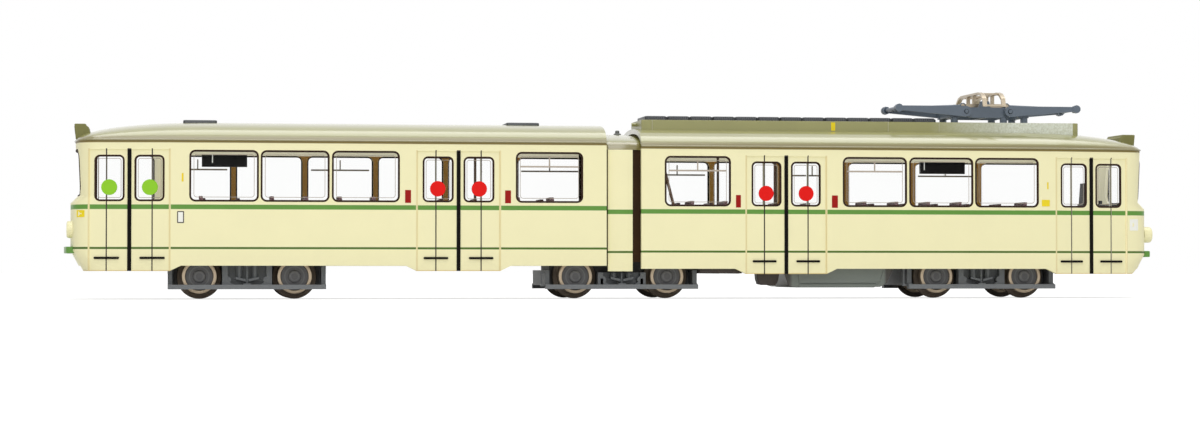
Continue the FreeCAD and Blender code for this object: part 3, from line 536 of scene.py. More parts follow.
def on_end(car, across, up, out):
    """Point on the bowed end at the windscreen: the end face at the height of the glass, moved out along X.
    In the middle x = nose - (r - sqrt(r^2 - y^2)); past the bow the corner circle takes over."""
    foot = NOSE_X[car] - SCREEN_BACK
    nose = foot + SCREEN_LEAN * np.clip((up - SCREEN_FOOT_Z) / (CANT_Z - SCREEN_FOOT_Z), 0.0, 1.0)
    corner, _, end = corner_points(foot)
    wide = np.abs(across)
    bow = nose - FRONT_R + np.sqrt(FRONT_R ** 2 - across ** 2)
    turn = np.clip((wide - corner[1]) / CORNER_R, 0.0, 1.0)
    round_ = nose - foot + corner[0] + CORNER_R * np.sqrt(1.0 - turn ** 2)
    x = car * (np.where(wide > end[1], round_, bow) + out)
    return np.stack(np.broadcast_arrays(x, across, up + LIFT[car]), -1)


def roof_shell(car):
    """Roof moulding over a car: across, a superellipse |y/w|^n + |z/h|^n = 1 with n = 2 / ROOF_POWER; along,
    the width w follows the plan and the rise h falls to the nose as the root of a d - b d^2 + c d^3 over the
    distance d back from it. The underside is the same arch set in by the wall."""
    tip = NOSE_X[car] - ROOF_SETBACK
    back = (tip - CAR_END_X) * np.linspace(0.0, 1.0, 90) ** 2.4
    back[1:] += 0.004
    x = np.minimum(tip - back, tip - 0.0005)
    x[-1] = CAR_END_X
    d = np.minimum(tip - x, 15.0)
    a, b, c = ROOF_FALL
    keep = np.sqrt(np.clip(a * d - b * d ** 2 + c * d ** 3, 0.0, 1.0))
    turn = np.linspace(0.0, math.pi, 49)
    wide = np.sign(np.cos(turn)) * np.abs(np.cos(turn)) ** ROOF_POWER
    high = np.abs(np.sin(turn)) ** ROOF_POWER
    w, h = plan_width(tip, x)[:, None], (ROOF_RISE * keep)[:, None]
    wi, hi = np.maximum(w - ROOF_WALL, w * 0.2), np.maximum(h - ROOF_WALL, h * 0.2)
    y = np.hstack([w * wide, wi * wide[::-1]])
    z = CANT_Z + np.hstack([h * high, hi * high[::-1]])
    rows = np.stack([np.broadcast_to(car * x[:, None], y.shape), y, z + LIFT[car]], -1)
    points, quads, tris = skin(rows)
    n = y.shape[1]
    j = np.arange(n // 2 - 1)
    ends = [np.stack([j + k, j + 1 + k, n - 2 - j + k, n - 1 - j + k], -1)[:, ::step]
            for k, step in ((0, 1), ((len(x) - 1) * n, -1))]
    return points, np.vstack([quads, *ends]), tris


def swept(car, profile, nose, x0):
    """A closed profile of (offset outwards, height) carried along the plan from the joint end of one side,
    round the nose, to the other."""
    pts, out = plan_path(nose, x0)
    at = pts[:, None] + out[:, None] * profile[None, :, :1]
    z = np.broadcast_to(profile[None, :, 1], at.shape[:2]) + LIFT[car]
    return closed(np.stack([car * at[..., 0], at[..., 1], z], -1))


def turned(axis, centre, rows, sides):
    """A shape turned about an axis along X, Y or Z (0, 1, 2): rows of (radius, place along the axis) swept
    through a full circle about the centre, which is given in the other two directions."""
    rows = np.asarray(rows, float)
    turn = np.linspace(0.0, 2 * math.pi, sides, endpoint=False)
    place = [centre[0] + rows[:, :1] * np.cos(turn), centre[1] + rows[:, :1] * np.sin(turn)]
    place.insert(axis, np.broadcast_to(rows[:, 1:], place[0].shape))
    return closed(np.stack(place, -1))


def stacked(rings, radius, arc=4, car=1, lift=0.0):
    """Rounded rectangles of (X from, X to, half width, height), one above another, closed at both ends."""
    rows = []
    for x0, x1, half, z in rings:
        loop = rounded_loop(x0, x1, -half, half, radius, arc, 2)[0]
        rows.append(np.column_stack([car * loop[:, 0], loop[:, 1], np.full(len(loop), z + lift)]))
    return closed(rows)


def block(x0, x1, half, steps, radius, lift=0.0):
    """A rounded block whose upper edge is broken: steps of (inset, height) from the foot up."""
    return stacked([(x0 + i, x1 - i, half - i, z) for i, z in steps], radius, lift=lift)


def rounded_loop(a0, a1, b0, b1, radius, arc=6, run=6):
    """Closed rounded rectangle: quarter circles of one radius about the four corner centres, joined by
    straight runs cut into equal steps. Gives the points and their outward directions."""
    centres = np.array([[a1, b1], [a0, b1], [a0, b0], [a1, b0]]) + radius * np.array(
        [[-1, -1], [1, -1], [1, 1], [-1, 1]])
    turn = np.linspace(0.0, math.pi / 2, arc)
    quarter = np.arange(4)[:, None] * math.pi / 2 + turn
    out = np.stack([np.cos(quarter), np.sin(quarter)], -1)
    pts = centres[:, None] + radius * out
    share = np.linspace(0.0, 1.0, run + 1)[1:-1][None, :, None]
    last, first = pts[:, -1:], np.roll(pts, -1, axis=0)[:, :1]
    between = last + (first - last) * share
    facing = np.repeat(out[:, -1:], between.shape[1], axis=1)
    return (np.concatenate([pts, between], 1).reshape(-1, 2),
            np.concatenate([out, facing], 1).reshape(-1, 2))


def skin(grid, round_u=False, caps=False):
    """Joins the closed rows of a grid of points into a surface: with round_u the last row joins the first,
    with caps both end rows close on their middles."""
    rows, cols = grid.shape[:2]
    u = np.arange(rows if round_u else rows - 1)
    a, b = np.meshgrid(u, np.arange(cols), indexing="ij")
    c, d = (a + 1) % rows, (b + 1) % cols
    quads = np.stack([a * cols + b, c * cols + b, c * cols + d, a * cols + d], -1).reshape(-1, 4)
    points = grid.reshape(-1, 3)
    tris = np.zeros((0, 3), int)
    if caps:
        ring, after = np.arange(cols), (np.arange(cols) + 1) % cols
        top = (rows - 1) * cols
        first = np.stack([ring, after, np.full(cols, len(points))], -1)
        last = np.stack([top + after, top + ring, np.full(cols, len(points) + 1)], -1)
        points = np.vstack([points, grid[0].mean(0), grid[-1].mean(0)])
        tris = np.vstack([first, last])
    return points, quads, tris


def closed(rows):
    """Rows joined into a surface with both ends closed."""
    return skin(np.array(rows), caps=True)


def volume(points, quads, tris):
    """Six times the signed volume, as the sum of tetrahedra from the mean of the points."""
    every = np.vstack([quads[:, [0, 1, 2]], quads[:, [0, 2, 3]], tris])
    p = points - points.mean(0)
    return np.einsum("ij,ij->i", p[every[:, 0]], np.cross(p[every[:, 1]], p[every[:, 2]])).sum()


def build(name, body, surfaces, finish):
    """One mesh from closed surfaces, each flipped where its faces would point inwards."""
    points, faces, start = [], [], 0
    for pts, quads, tris in surfaces:
        if volume(pts, quads, tris) < 0.0:
            quads, tris = quads[:, ::-1], tris[:, ::-1]
        points.append(pts * MM)
        faces += (quads + start).tolist() + (tris + start).tolist()
        start += len(pts)
    mesh = bpy.data.meshes.new(name)
    mesh.from_pydata(np.vstack(points).tolist(), [], faces)
    finish_mesh(mesh, bpy.data.materials[finish], 40.0)
    mesh.update()
    piece = add_object(name, mesh)
    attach(piece, body)
    return piece


def stand_in(name, node, surfaces, finish):
    """A built piece in place of a CAD node, on the node's own body."""
    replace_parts(build(name, frame["nodes"][node]["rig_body"], surfaces, finish), node)


def bead(on_face, loop, facing, profile):
    """A profile of (offset outwards in the face, height off the face) carried round a loop on a face."""
    at = loop[:, None, :] + facing[:, None, :] * profile[None, :, :1]
    return skin(on_face(at[..., 0], at[..., 1], profile[None, :, 1]), round_u=True)


def shrunk(a0, a1, b0, b1, by):
    """A box with its edges moved in."""
    return a0 + by, a1 - by, b0 + by, b1 - by


def side_plate(car, side, box, radius, low, high, edge=0.02):
    """A thin plate on a side from low to high off the face, its upper edge broken by a small inset."""
    rows = []
    for inset, height in ((0.0, low), (0.0, high - edge), (edge, high)):
        loop, _ = rounded_loop(*shrunk(*box, inset), max(radius - inset, 0.01))
        rows.append(on_side(car, side, loop[:, 0], loop[:, 1], height))
    return closed(rows)


def tube(path, radius, sides=12):
    """A round rod along a path: circles in the plane across the path's own direction."""
    way = np.gradient(path, axis=0)
    way /= np.linalg.norm(way, axis=1)[:, None]
    spare = np.where(np.abs(way[:, 1:2]) < 0.9, np.array([[0.0, 1.0, 0.0]]), np.array([[1.0, 0.0, 0.0]]))
    a = np.cross(way, spare)
    a /= np.linalg.norm(a, axis=1)[:, None]
    b = np.cross(way, a)
    turn = np.linspace(0.0, 2 * math.pi, sides, endpoint=False)
    ring = np.cos(turn)[None, :, None] * a[:, None] + np.sin(turn)[None, :, None] * b[:, None]
    return closed(path[:, None] + radius * ring)


def far_openings(car):
    start = FAR_START[car]
    rows = [(start + k * FAR_PITCH + FAR_PILLAR / 2, start + (k + 1) * FAR_PITCH - FAR_PILLAR / 2)
            for k in range(FAR_COUNT)]
    return rows + [(max(rows[-1][1] + FAR_PILLAR, FAR_LAST[0]), FAR_LAST[1])]


def openings():
    """Every saloon window as car, side, and its edges along the body."""
    for car in CARS:
        for a, b in NEAR_WINDOWS:
            yield car, -1, a, b
        for a, b in far_openings(car):
            yield car, 1, a, b


# ---- operators ---------------------------------------------------------------------------


class TRAM_OT_finish_bodies(bpy.types.Operator):
    """Paint the car bodies, the joint section and the bumpers"""
    bl_idname = "tram.finish_bodies"
    bl_label = "Bodies"

    def execute(self, context):
        c, z = context.scene.tram_colours, context.scene.tram_sizes
        softened("front_car_body", body_paint("Cream front", 0.0, True, c, z))
        softened("rear_car_body", body_paint("Cream rear", RIDE, True, c, z))
        softened("joint_side_panels", body_paint("Cream joint", -0.05, False, c, z))
        bumper, s, shader, place, paint = moulded("Bumper green", c.stripe, 0.34, 0.12, 6.0)
        # painted highlight: the middle of the bumper, facing ahead, is made lighter green
        ends = s.band(place["Across"], -3.2, 3.2, 0.1)
        feed(s, shader, Base_Color=s.mix(s.times(ends, 0.2), paint, rgb(150, 172, 110)))
        softened("front_bumper", bumper, bevel=0.10)
        softened("rear_bumper", bumper, bevel=0.10)
        # painted shade: the drum behind the joint panels is near black-brown, standing in for the shaded gaps
        # beside the joint
        brown = moulded("Joint painted shade brown", rgb(46, 26, 7), 0.7, 0.45, 2.0, 0.3, specular=0.2)[0]
        softened("joint_inner_wall", brown)
        return {"FINISHED"}


class TRAM_OT_finish_roofs(bpy.types.Operator):
    """Paint the roofs, the roof boxes and the destination boxes"""
    bl_idname = "tram.finish_roofs"
    bl_label = "Roofs"

    def execute(self, context):
        c = context.scene.tram_colours
        lip = np.array([(-0.10, 16.93), (0.02, 16.93), (0.09, 16.945), (0.117, 16.985), (0.117, 17.05),
                        (0.09, 17.10), (0.02, 17.13), (-0.10, 17.13)])
        for car, finish in ((1, roof_paint("Roof front", 0.0, c)), (-1, roof_paint("Roof rear", RIDE, c))):
            name = CARS[car] + "_roof"
            stand_in(name + "_moulding", name,
                     [roof_shell(car), swept(car, lip, NOSE_X[car] - ROOF_SETBACK, CAR_END_X)], finish.name)
        softened("joint_roof", roof_paint("Roof joint", 0.0, c, shine=0.24))
        casing = roof_paint("Roof casing", 0.0, c, (3.84, 31.2, 37.2, 44.2), 0.4, 0.2, (36.0, 46.0))
        softened("roof_casing", casing, bevel=0.10)
        boxes = moulded("Roof box olive", rgb(116, 114, 62), 0.5, 0.12, 6.0, 0.12, specular=0.4)[0]
        blind = moulded("Blank blind", rgb(26, 24, 22), 0.25, 0.2)[0]
        for car, back, low_face, face in ((1, 59.3, 60.78, 60.92), (-1, 58.95, 60.10, 60.24)):
            # from the roof up: the face leans out and the crown steps in; the blind lies on the leaning face
            rings = [(back - 0.5, low_face, 2.60, 17.25), (back - 0.25, face - 0.02, 2.60, 18.55),
                     (back, face, 2.60, 18.74), (back + 0.05, face, 2.60, 18.88),
                     (back + 0.14, face - 0.08, 2.50, 18.93)]
            name = ("front" if car > 0 else "rear") + "_destination_box"
            stand_in(name + "_moulding", name, [stacked(rings, 0.16, 4, car, LIFT[car])], boxes.name)
            loop, _ = rounded_loop(-2.2, 2.2, 17.75, 18.68, 0.12, 4, 2)
            lean = low_face + (face - low_face) * (loop[:, 1] - 17.25) / 1.3
            rows = [np.column_stack([car * (lean + t), loop[:, 0], loop[:, 1] + LIFT[car]])
                    for t in (-0.1, 0.015)]
            build(name + "_blind", CARS[car], [closed(rows)], blind.name)
        grid, s, shader, place, paint = moulded("Resistor grey", rgb(52, 54, 58), 0.42, 0.25, 8.0, 0.25)
        slat = s.wave(place["Along"], 25.0)
        feed(s, shader, Base_Color=s.mix(s.times(slat, 0.35), paint, rgb(78, 82, 88)),
             Normal=s.bump(slat, 0.5, 0.00010))
        # covers in a row with a lower rib in each gap, then the low hatches, both with a broken upper edge
        covers = []
        for k in range(COVER_COUNT):
            a, b = COVER_X + COVER_PITCH * k, COVER_X + COVER_PITCH * (k + 1) - COVER_GAP
            covers.append(block(a, b, 2.7, COVER_STEPS, 0.18))
            covers.append(stacked([(b + 0.01, b + 0.15, 2.5, h) for h in (CASE_TOP_Z, 20.50)], 0.05, 3))
        stand_in("roof_resistor_covers", "roof_resistors", covers, grid.name)
        hatch = moulded("Hatch grey", rgb(58, 61, 64), 0.42, 0.2, 6.0, 0.2)[0]
        slabs = [block(-x - HATCH_HALF_L, -x + HATCH_HALF_L, 2.3, HATCH_STEPS, 0.2, RIDE) for x in HATCH_X]
        stand_in("roof_hatch_slabs", "roof_hatches", slabs, hatch.name)
        knob = [(0.42, 18.45), (0.42, 18.66), (0.38, 18.72), (0.25, 18.76), (0.24, 18.98), (0.21, 19.04),
                (0.12, 19.08)]
        stand_in("joint_roof_turret", "joint_roof_knob", [turned(2, (0.4, 0.0), knob, 24)],
                 moulded("Knob grey", rgb(92, 94, 92), 0.4, 0.15)[0].name)
        return {"FINISHED"}


class TRAM_OT_finish_glazing(bpy.types.Operator):
    """Clear glazing of both cars"""
    bl_idname = "tram.finish_glazing"
    bl_label = "Glazing"

    def execute(self, context):
        dress(["front_car_glazing", "rear_car_glazing"], clear("Clear glazing", (0.996, 0.998, 0.996)))
        return {"FINISHED"}


class TRAM_OT_finish_inside(bpy.types.Operator):
    """Floors, seats, driver's place and line signs"""
    bl_idname = "tram.finish_inside"
    bl_label = "Inside"

    def execute(self, context):
        c = context.scene.tram_colours
        dress(["front_car_floor", "rear_car_floor", "joint_floor"],
              moulded("Floor grey", c.chassis, 0.6, 0.2, 6.0, 0.2, low_tone=(2.0, 6.0, 0.2))[0])
        dress(["front_car_seats", "rear_car_seats"], moulded("Bench plum", c.seat, 0.55, 0.2, 5.0, 0.2)[0])
        dress(["drivers_place"], moulded("Desk grey", rgb(62, 66, 70), 0.5, 0.2, 5.0, 0.2)[0])
        dress(["cab_bulkhead"], moulded("Bulkhead grey", rgb(196, 194, 184), 0.5, 0.06)[0])
        for name, ride, divider in (("front_line_sign", 0.0, 34.6), ("rear_line_sign", RIDE, 45.3)):
            sign, s, shader, place, paint = moulded(name + " black", rgb(18, 15, 14), 0.4, 0.3, 6.0, 0.1,
                                                    ride=ride)
            line = s.line(place["Along"], divider, 0.05, 0.03)
            line = s.times(line, s.band(place["Up"], 14.55, 15.6, 0.03))
            feed(s, shader, Base_Color=s.mix(line, paint, rgb(235, 235, 230)))
            dress([name], sign)
        dress(["motor_block"], moulded("Cast motor", rgb(110, 108, 106), 0.4, 0.2, 4.0, 0.3, metal=0.7)[0])
        return {"FINISHED"}


class TRAM_OT_finish_running_gear(bpy.types.Operator):
    """Bogies, wheels and the boxes under the floor"""
    bl_idname = "tram.finish_running_gear"
    bl_label = "Running gear"

    def execute(self, context):
        c = context.scene.tram_colours
        made, s, shader, place, paint = moulded("Bogie grey", c.bogie, 0.52, 0.16, 6.0, 0.25)
        beam = s.band(place["Up"], 0.9, 1.66, 0.1)
        paint = s.mix(s.times(beam, 0.5), paint, rgb(124, 127, 130))
        feed(s, shader, Base_Color=paint)
        for n in BOGIES:
            softened(n + "_bogie_frame", made, bevel=0.04)
        dress([n + "_bogie_block" for n in BOGIES],
              moulded("Bogie core", rgb(58, 57, 56), 0.6, 0.2, 6.0, 0.2)[0])

        wheel, s, shader, place, grain = surface("Wheel and tyre", 0.0, 12.0)
        rise = s.minus(place["Up"], WHEEL_Z)
        away = [s.minus(place["Along"], x) for x in WHEEL_X]
        away = [s.math("SQRT", s.math("ADD", s.times(a, a), s.times(rise, rise))) for a in away]
        radius = s.math("MINIMUM", s.math("MINIMUM", away[0], away[1]), away[2])
        tyre = s.band(radius, 1.52, 1.90, 0.05)
        tread = s.band(radius, 1.90, 9.0, 0.05)
        turning = s.wave(radius, 60.0)
        disc = s.mix(grain["Shade"], tint(c.wheel, 0.8), tint(c.wheel, 1.25))
        metal = s.mix(turning, tint(c.tyre, 0.82), tint(c.tyre, 1.08))
        hub = s.math("MAXIMUM", s.band(radius, 0.36, 0.64, 0.05), s.band(radius, 1.0, 1.12, 0.05))
        disc = s.mix(s.times(hub, 0.4), disc, rgb(122, 122, 124))
        paint = s.mix(tread, s.mix(tyre, disc, metal), rgb(96, 84, 72))
        feed(s, shader, Base_Color=paint, Metallic=s.times(tyre, 0.55),
             Roughness=s.scaled(tyre, -0.22, 0.55),
             Normal=s.bump(s.times(turning, tyre), 0.15, 0.00003))
        # half an axle with its wheel: hub, disc, rim, tread and flange, then the same mirrored
        half = np.array([(0.20, 5.34), (0.52, 5.33), (0.62, 5.28), (0.72, 5.13), (1.46, 5.12), (1.50, 5.18),
                         (1.56, 5.34), (1.80, 5.35), (1.87, 5.32), (1.93, 4.35), (2.02, 4.24), (2.38, 4.12),
                         (2.44, 4.02), (2.45, 3.90), (2.36, 3.78), (0.78, 3.84), (0.75, 3.70)])
        whole = np.vstack([half, half[::-1] * [1.0, -1.0]])
        for node in [n + "_wheelset_" + k for n in BOGIES for k in "ab"]:
            low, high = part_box(node)
            axle_x = (low[0] + high[0]) / 2 / MM
            stand_in(node + "_turned", node, [turned(1, (axle_x, WHEEL_Z), whole, 48)], wheel.name)

        case, s, shader, place, paint = moulded("Underfloor grey", rgb(110, 117, 111), 0.34, 0.12, 5.0, 0.15)
        ends = s.most([s.band(place["Along"], 18.0, 19.3, 0.4), s.band(place["Along"], 30.2, 31.6, 0.3)])
        feed(s, shader, Base_Color=s.mix(s.times(ends, 0.85), paint, rgb(48, 38, 32)))
        softened("underfloor_case", case, bevel=0.10)
        # a box under the door side and a shallow strip along each side: outlines in X and Z drawn out along Y
        box_brown = moulded("Box brown", rgb(56, 46, 40), 0.5, 0.2, 5.0, 0.2)[0]

        def drawn_out(outline, y0, y1, edge=0.08):
            outline = np.array(outline, float)
            middle = outline.mean(0)
            rows = []
            for k, y in ((0.93, y0), (1.0, y0 + edge), (1.0, y1 - edge), (0.93, y1)):
                at = middle + k * (outline - middle)
                rows.append(np.column_stack([at[:, 0], np.full(len(at), y), at[:, 1]]))
            return closed(rows)

        box = [(15.45, 5.3), (15.45, 2.9), (15.5, 2.2), (15.7, 1.62), (16.2, 1.52), (17.6, 1.5),
               (17.9, 1.95), (18.05, 2.9), (18.05, 5.3)]
        strip = [(8.8, 2.85), (13.2, 2.8), (13.6, 2.85), (13.6, 5.3), (8.8, 5.3)]
        shapes = [drawn_out(box, -5.4, -3.9), drawn_out(strip, -6.2, -5.2), drawn_out(strip, 5.2, 6.2)]
        stand_in("battery_box_moulding", "battery_box", shapes, box_brown.name)
        return {"FINISHED"}


class TRAM_OT_finish_pantograph(bpy.types.Operator):
    """Frame, arms and collector head of the pantograph"""
    bl_idname = "tram.finish_pantograph"
    bl_label = "Pantograph"

    def execute(self, context):
        c = context.scene.tram_colours
        arm = moulded("Arm grey", c.arm, 0.36, 0.14, 6.0, 0.12, specular=0.6)[0]
        rod = moulded("Rod grey", tint(c.arm, 1.15), 0.34, 0.14, 6.0, 0.12, metal=0.3)[0]
        head = moulded("Collector nickel", c.head, 0.32, 0.16, 8.0, 0.2, metal=0.75)[0]
        softened("pantograph_base", arm, 40.0, bevel=0.05)
        for n in ("front", "rear"):
            softened("pantograph_lower_arm_" + n, arm, 46.0)
            softened("pantograph_upper_arm_" + n, rod, 61.0)
        softened("pantograph_head", head, 30.0, bevel=0.03)
        return {"FINISHED"}


class TRAM_OT_window_rubbers(bpy.types.Operator):
    """Rubber beads round saloon windows, door glasses and windscreens, and the inner sash lines"""
    bl_idname = "tram.window_rubbers"
    bl_label = "Window rubbers"

    def execute(self, context):
        c, z = context.scene.tram_colours, context.scene.tram_sizes
        moulded("Black rubber", c.rubber, 0.7, 0.15, 8.0, 0.1, specular=0.2)
        moulded("Seal black", rgb(13, 10, 8), 0.75, 0.2, 8.0, 0.1, specular=0.12)
        moulded("Sash grey", rgb(172, 160, 146), 0.4, 0.12, 8.0, 0.1)
        w, sash = z.rubber / MM, z.sash / MM
        # half-round lip that laps the edge of the opening, with a foot down into it
        turn = np.linspace(0.0, math.pi, 6)
        lip = np.stack([0.05 - w / 2 + w / 2 * np.cos(turn), -0.01 + 0.05 * np.sin(turn)], -1)
        lip = np.vstack([lip, [[0.05 - w, -0.20], [0.0, -0.20], [0.0, -0.03], [0.05, -0.03]]])
        ring = 0.03 * np.stack([np.cos(turn * 2 * 5 / 6), np.sin(turn * 2 * 5 / 6)], -1)
        outer, inner = {1: [], -1: []}, {1: [], -1: []}
        for car, side, a, b in openings():
            face = partial(on_side, car, side)
            outer[car].append(bead(face, *rounded_loop(a, b, *WINDOW_Z, 0.62), lip))
            if side < 0:
                line = rounded_loop(*shrunk(a, b, *WINDOW_Z, sash), 0.3)
                inner[car].append(bead(face, *line, ring + [0.0, -0.12]))
        for car in CARS:
            face = partial(on_side, car, -1)
            for low, high in [sorted((centre + sign * a, centre + sign * b))
                              for centre, _, a, b, _ in DOORS for sign in (-1, 1)]:
                glass = rounded_loop(low, high, *DOOR_GLASS_Z, 0.55)
                outer[car].append(bead(face, *glass, lip + [0.0, -0.12]))
                line = rounded_loop(*shrunk(low, high, *DOOR_GLASS_Z, 0.36), 0.25)
                inner[car].append(bead(face, *line, ring + [0.0, -0.24]))
            screen = rounded_loop(-4.75, 4.75, *SCREEN_Z, 1.1, run=14)
            outer[car].append(bead(partial(on_end, car), *screen, lip))
            build(CARS[car] + "_rubbers", CARS[car], outer[car], "Black rubber")
            build(CARS[car] + "_sash_lines", CARS[car], inner[car], "Sash grey")
        return {"FINISHED"}


class TRAM_OT_sliding_vents(bpy.types.Operator):
    """Bars of the sliding top lights and their dividers"""
    bl_idname = "tram.sliding_vents"
    bl_label = "Sliding vents"

    def execute(self, context):
        near = {1: (0, 1), -1: (0,)}
        far = {1: (0, 2, 4), -1: (0, 3, 5)}
        for car in CARS:
            bars = []
            rows = [(-1, NEAR_WINDOWS[k]) for k in near[car]] + [(1, far_openings(car)[k]) for k in far[car]]
            for side, (a, b) in rows:
                mid = (a + b) / 2
                bar, divider = (a + 0.46, b - 0.46, 14.22, 14.40), (mid - 0.07, mid + 0.07, 14.36, 15.46)
                bars.append(side_plate(car, side, bar, 0.05, -0.20, -0.07))
                bars.append(side_plate(car, side, divider, 0.04, -0.20, -0.08))
            build(CARS[car] + "_vents", CARS[car], bars, "Sash grey")
        return {"FINISHED"}


class TRAM_OT_door_fittings(bpy.types.Operator):
    """Centre seals, fold strips over the glass and the black grips of the folding doors"""
    bl_idname = "tram.door_fittings"
    bl_label = "Door fittings"

    def execute(self, context):
        moulded("Hinge grey", rgb(84, 78, 72), 0.6, 0.12, specular=0.3)
        # two soft lips that meet: a height that dips to the middle, h = h0 - d (1 - |t|)^2
        t = np.linspace(-1.0, 1.0, 9)
        lips = np.stack([SEAL_HALF_W * t, -0.05 - 0.07 * (1.0 - np.abs(t)) ** 2], -1)
        ups = np.linspace(SKIRT_Z + 0.02, DOOR_TOP_Z - 0.02, 12)[:, None]
        for car in CARS:
            black, strips = [], []
            for centre, _, _, _, fold in DOORS:
                foot = [[centre + SEAL_HALF_W, -0.33], [centre - SEAL_HALF_W, -0.33]]
                section = np.vstack([lips + [centre, 0.0], foot])
                black.append(closed(on_side(car, -1, section[:, 0], ups, section[:, 1])))
                for mid in (centre - fold, centre + fold):
                    # grip: a flat bar with rounded ends; strip: a narrow plate over the fold of the glass
                    grip = (mid - GRIP_HALF_L, mid + GRIP_HALF_L, *GRIP_Z)
                    strip = (mid - STRIP_HALF_W, mid + STRIP_HALF_W,
                             DOOR_GLASS_Z[0] + 0.1, DOOR_GLASS_Z[1] - 0.1)
                    black.append(side_plate(car, -1, grip, 0.11, -0.16, 0.05, 0.05))
                    strips.append(side_plate(car, -1, strip, 0.03, -0.26, -0.14, 0.03))
            build(CARS[car] + "_door_seals", CARS[car], black, "Seal black")
            build(CARS[car] + "_door_hinge_strips", CARS[car], strips, "Hinge grey")
        return {"FINISHED"}


class TRAM_OT_lamp_glasses(bpy.types.Operator):
    """Lenses and rims of the headlamps and tail lamps"""
    bl_idname = "tram.lamp_glasses"
    bl_label = "Lamp glasses"

    def execute(self, context):
        moulded("Lamp cream", context.scene.tram_colours.cream, 0.3, 0.05)
        _, s, shader, place, _ = moulded("Lamp lens", rgb(236, 238, 236), 0.12, 0.03)
        ribs = s.wave(place["Across"], 42.0)
        feed(s, shader, Base_Color=s.mix(ribs, rgb(206, 210, 212), rgb(250, 250, 246)),
             Normal=s.bump(ribs, 0.3, 0.00006))
        shader.inputs["Coat Weight"].default_value = 1.0
        shader = moulded("Tail red", rgb(150, 20, 16), 0.15, 0.1)[2]
        shader.inputs["Coat Weight"].default_value = 1.0
        # housing: a drum with a rounded rim, hollow inside it; lens: a quarter of an ellipse turned about X;
        # both as rows of (X from the nose, radius), the drum's first one inside the end wall
        drum = np.array([(-0.70, 0.92), (0.06, 0.92), (0.16, 0.905), (0.24, 0.87), (0.285, 0.82),
                         (0.295, 0.77), (0.285, 0.71), (0.20, 0.66), (0.05, 0.64)])
        angle = np.linspace(0.0, math.pi / 2 * 0.96, 9)
        glass = np.vstack([[[0.0, 0.64]], np.stack([0.12 + 0.12 * np.sin(angle), 0.64 * np.cos(angle)], -1)])
        for car, node, finish in ((1, "headlamps", "Lamp lens"), (-1, "tail_lamps", "Tail red")):
            z, out = LAMP_Z + LIFT[car], NOSE_X[car] + LAMP_OUT[car]
            shapes = [[turned(0, (y, z), (part * [car, 1.0] + [car * out, 0.0])[:, ::-1], 40)
                       for y in (-LAMP_Y, LAMP_Y)] for part in (drum, glass)]
            stand_in(node + "_housings", node, shapes[0], "Lamp cream")
            build(node[:-1] + "_lenses", CARS[car], shapes[1], finish)
        return {"FINISHED"}


class TRAM_OT_prints(bpy.types.Operator):
    """Blank coloured signs on the door glass and small blank plates on the sides"""
    bl_idname = "tram.prints"
    bl_label = "Signs and plates"

    def execute(self, context):
        c = context.scene.tram_colours
        for name, base, rough, spread, specular in (
                ("Sign red", c.stop, 0.6, 0.06, 0.2), ("Sign green", c.go, 0.6, 0.06, 0.2),
                ("Plate yellow", c.warning, 0.6, 0.06, 0.2), ("Plate red", rgb(150, 12, 6), 0.6, 0.08, 0.2),
                ("Plate white", rgb(236, 236, 228), 0.42, 0.04, 0.5),
                ("Plate outline", rgb(60, 52, 48), 0.42, 0.08, 0.5)):
            moulded(name, base, rough, spread, specular=specular)

        def squares(door, up):
            """The boxes round the two signs of a door."""
            centre, _, a, b, _ = DOORS[door]
            mid = (a + b) / 2 + 0.04
            return [(x - SIGN_R, x + SIGN_R, up - SIGN_R, up + SIGN_R) for x in (centre - mid, centre + mid)]

        # corner radius, then how far the back and the face lie off the side
        sign, plate = (SIGN_R - 0.001, -0.24, -0.105), (0.05, -0.08, 0.02)
        # boxes are edges along the body, then edges up
        for car, name, finish, shape, boxes in (
                (-1, "entry_signs", "Sign green", sign, squares(1, 11.86)),
                (-1, "rear_door_signs", "Sign red", sign, squares(0, 11.82)),
                (1, "front_door_signs", "Sign red", sign, squares(0, 11.80)),
                (-1, "rear_red_plates", "Plate red", plate,
                 [(23.70, 24.36, 10.25, 11.67), (12.65, 13.31, 10.25, 11.67)]),
                (1, "front_red_plates", "Plate red", plate,
                 [(12.67, 13.24, 10.2, 11.6), (23.67, 24.36, 10.2, 11.6)]),
                (-1, "rear_yellow_plates", "Plate yellow", plate,
                 [(59.01, 59.86, 8.62, 9.37), (48.42, 48.62, 12.47, 13.40)]),
                (1, "front_yellow_plates", "Plate yellow", plate,
                 [(48.15, 49.09, 10.45, 11.2), (48.78, 48.94, 12.4, 13.2)]),
                (1, "front_white_plate", "Plate white", plate, [(58.94, 60.01, 7.75, 9.05)]),
                (-1, "rear_plate_outline", "Plate outline", (0.08, -0.08, 0.015),
                 [(48.35, 49.10, 7.97, 9.27)]),
                (-1, "rear_plate_face", "Plate white", (0.04, -0.05, 0.025), [(48.46, 48.99, 8.08, 9.16)])):
            build(name, CARS[car], [side_plate(car, -1, box, *shape, 0.01) for box in boxes], finish)
        outline = [(24.5, 19.1), (24.98, 19.1), (24.98, 20.02), (24.5, 20.02)]
        on_casing = closed([[(x, y, z) for x, z in outline] for y in (-3.45, -3.52)])
        build("casing_plate", "front_car", [on_casing], "Plate yellow")
        return {"FINISHED"}


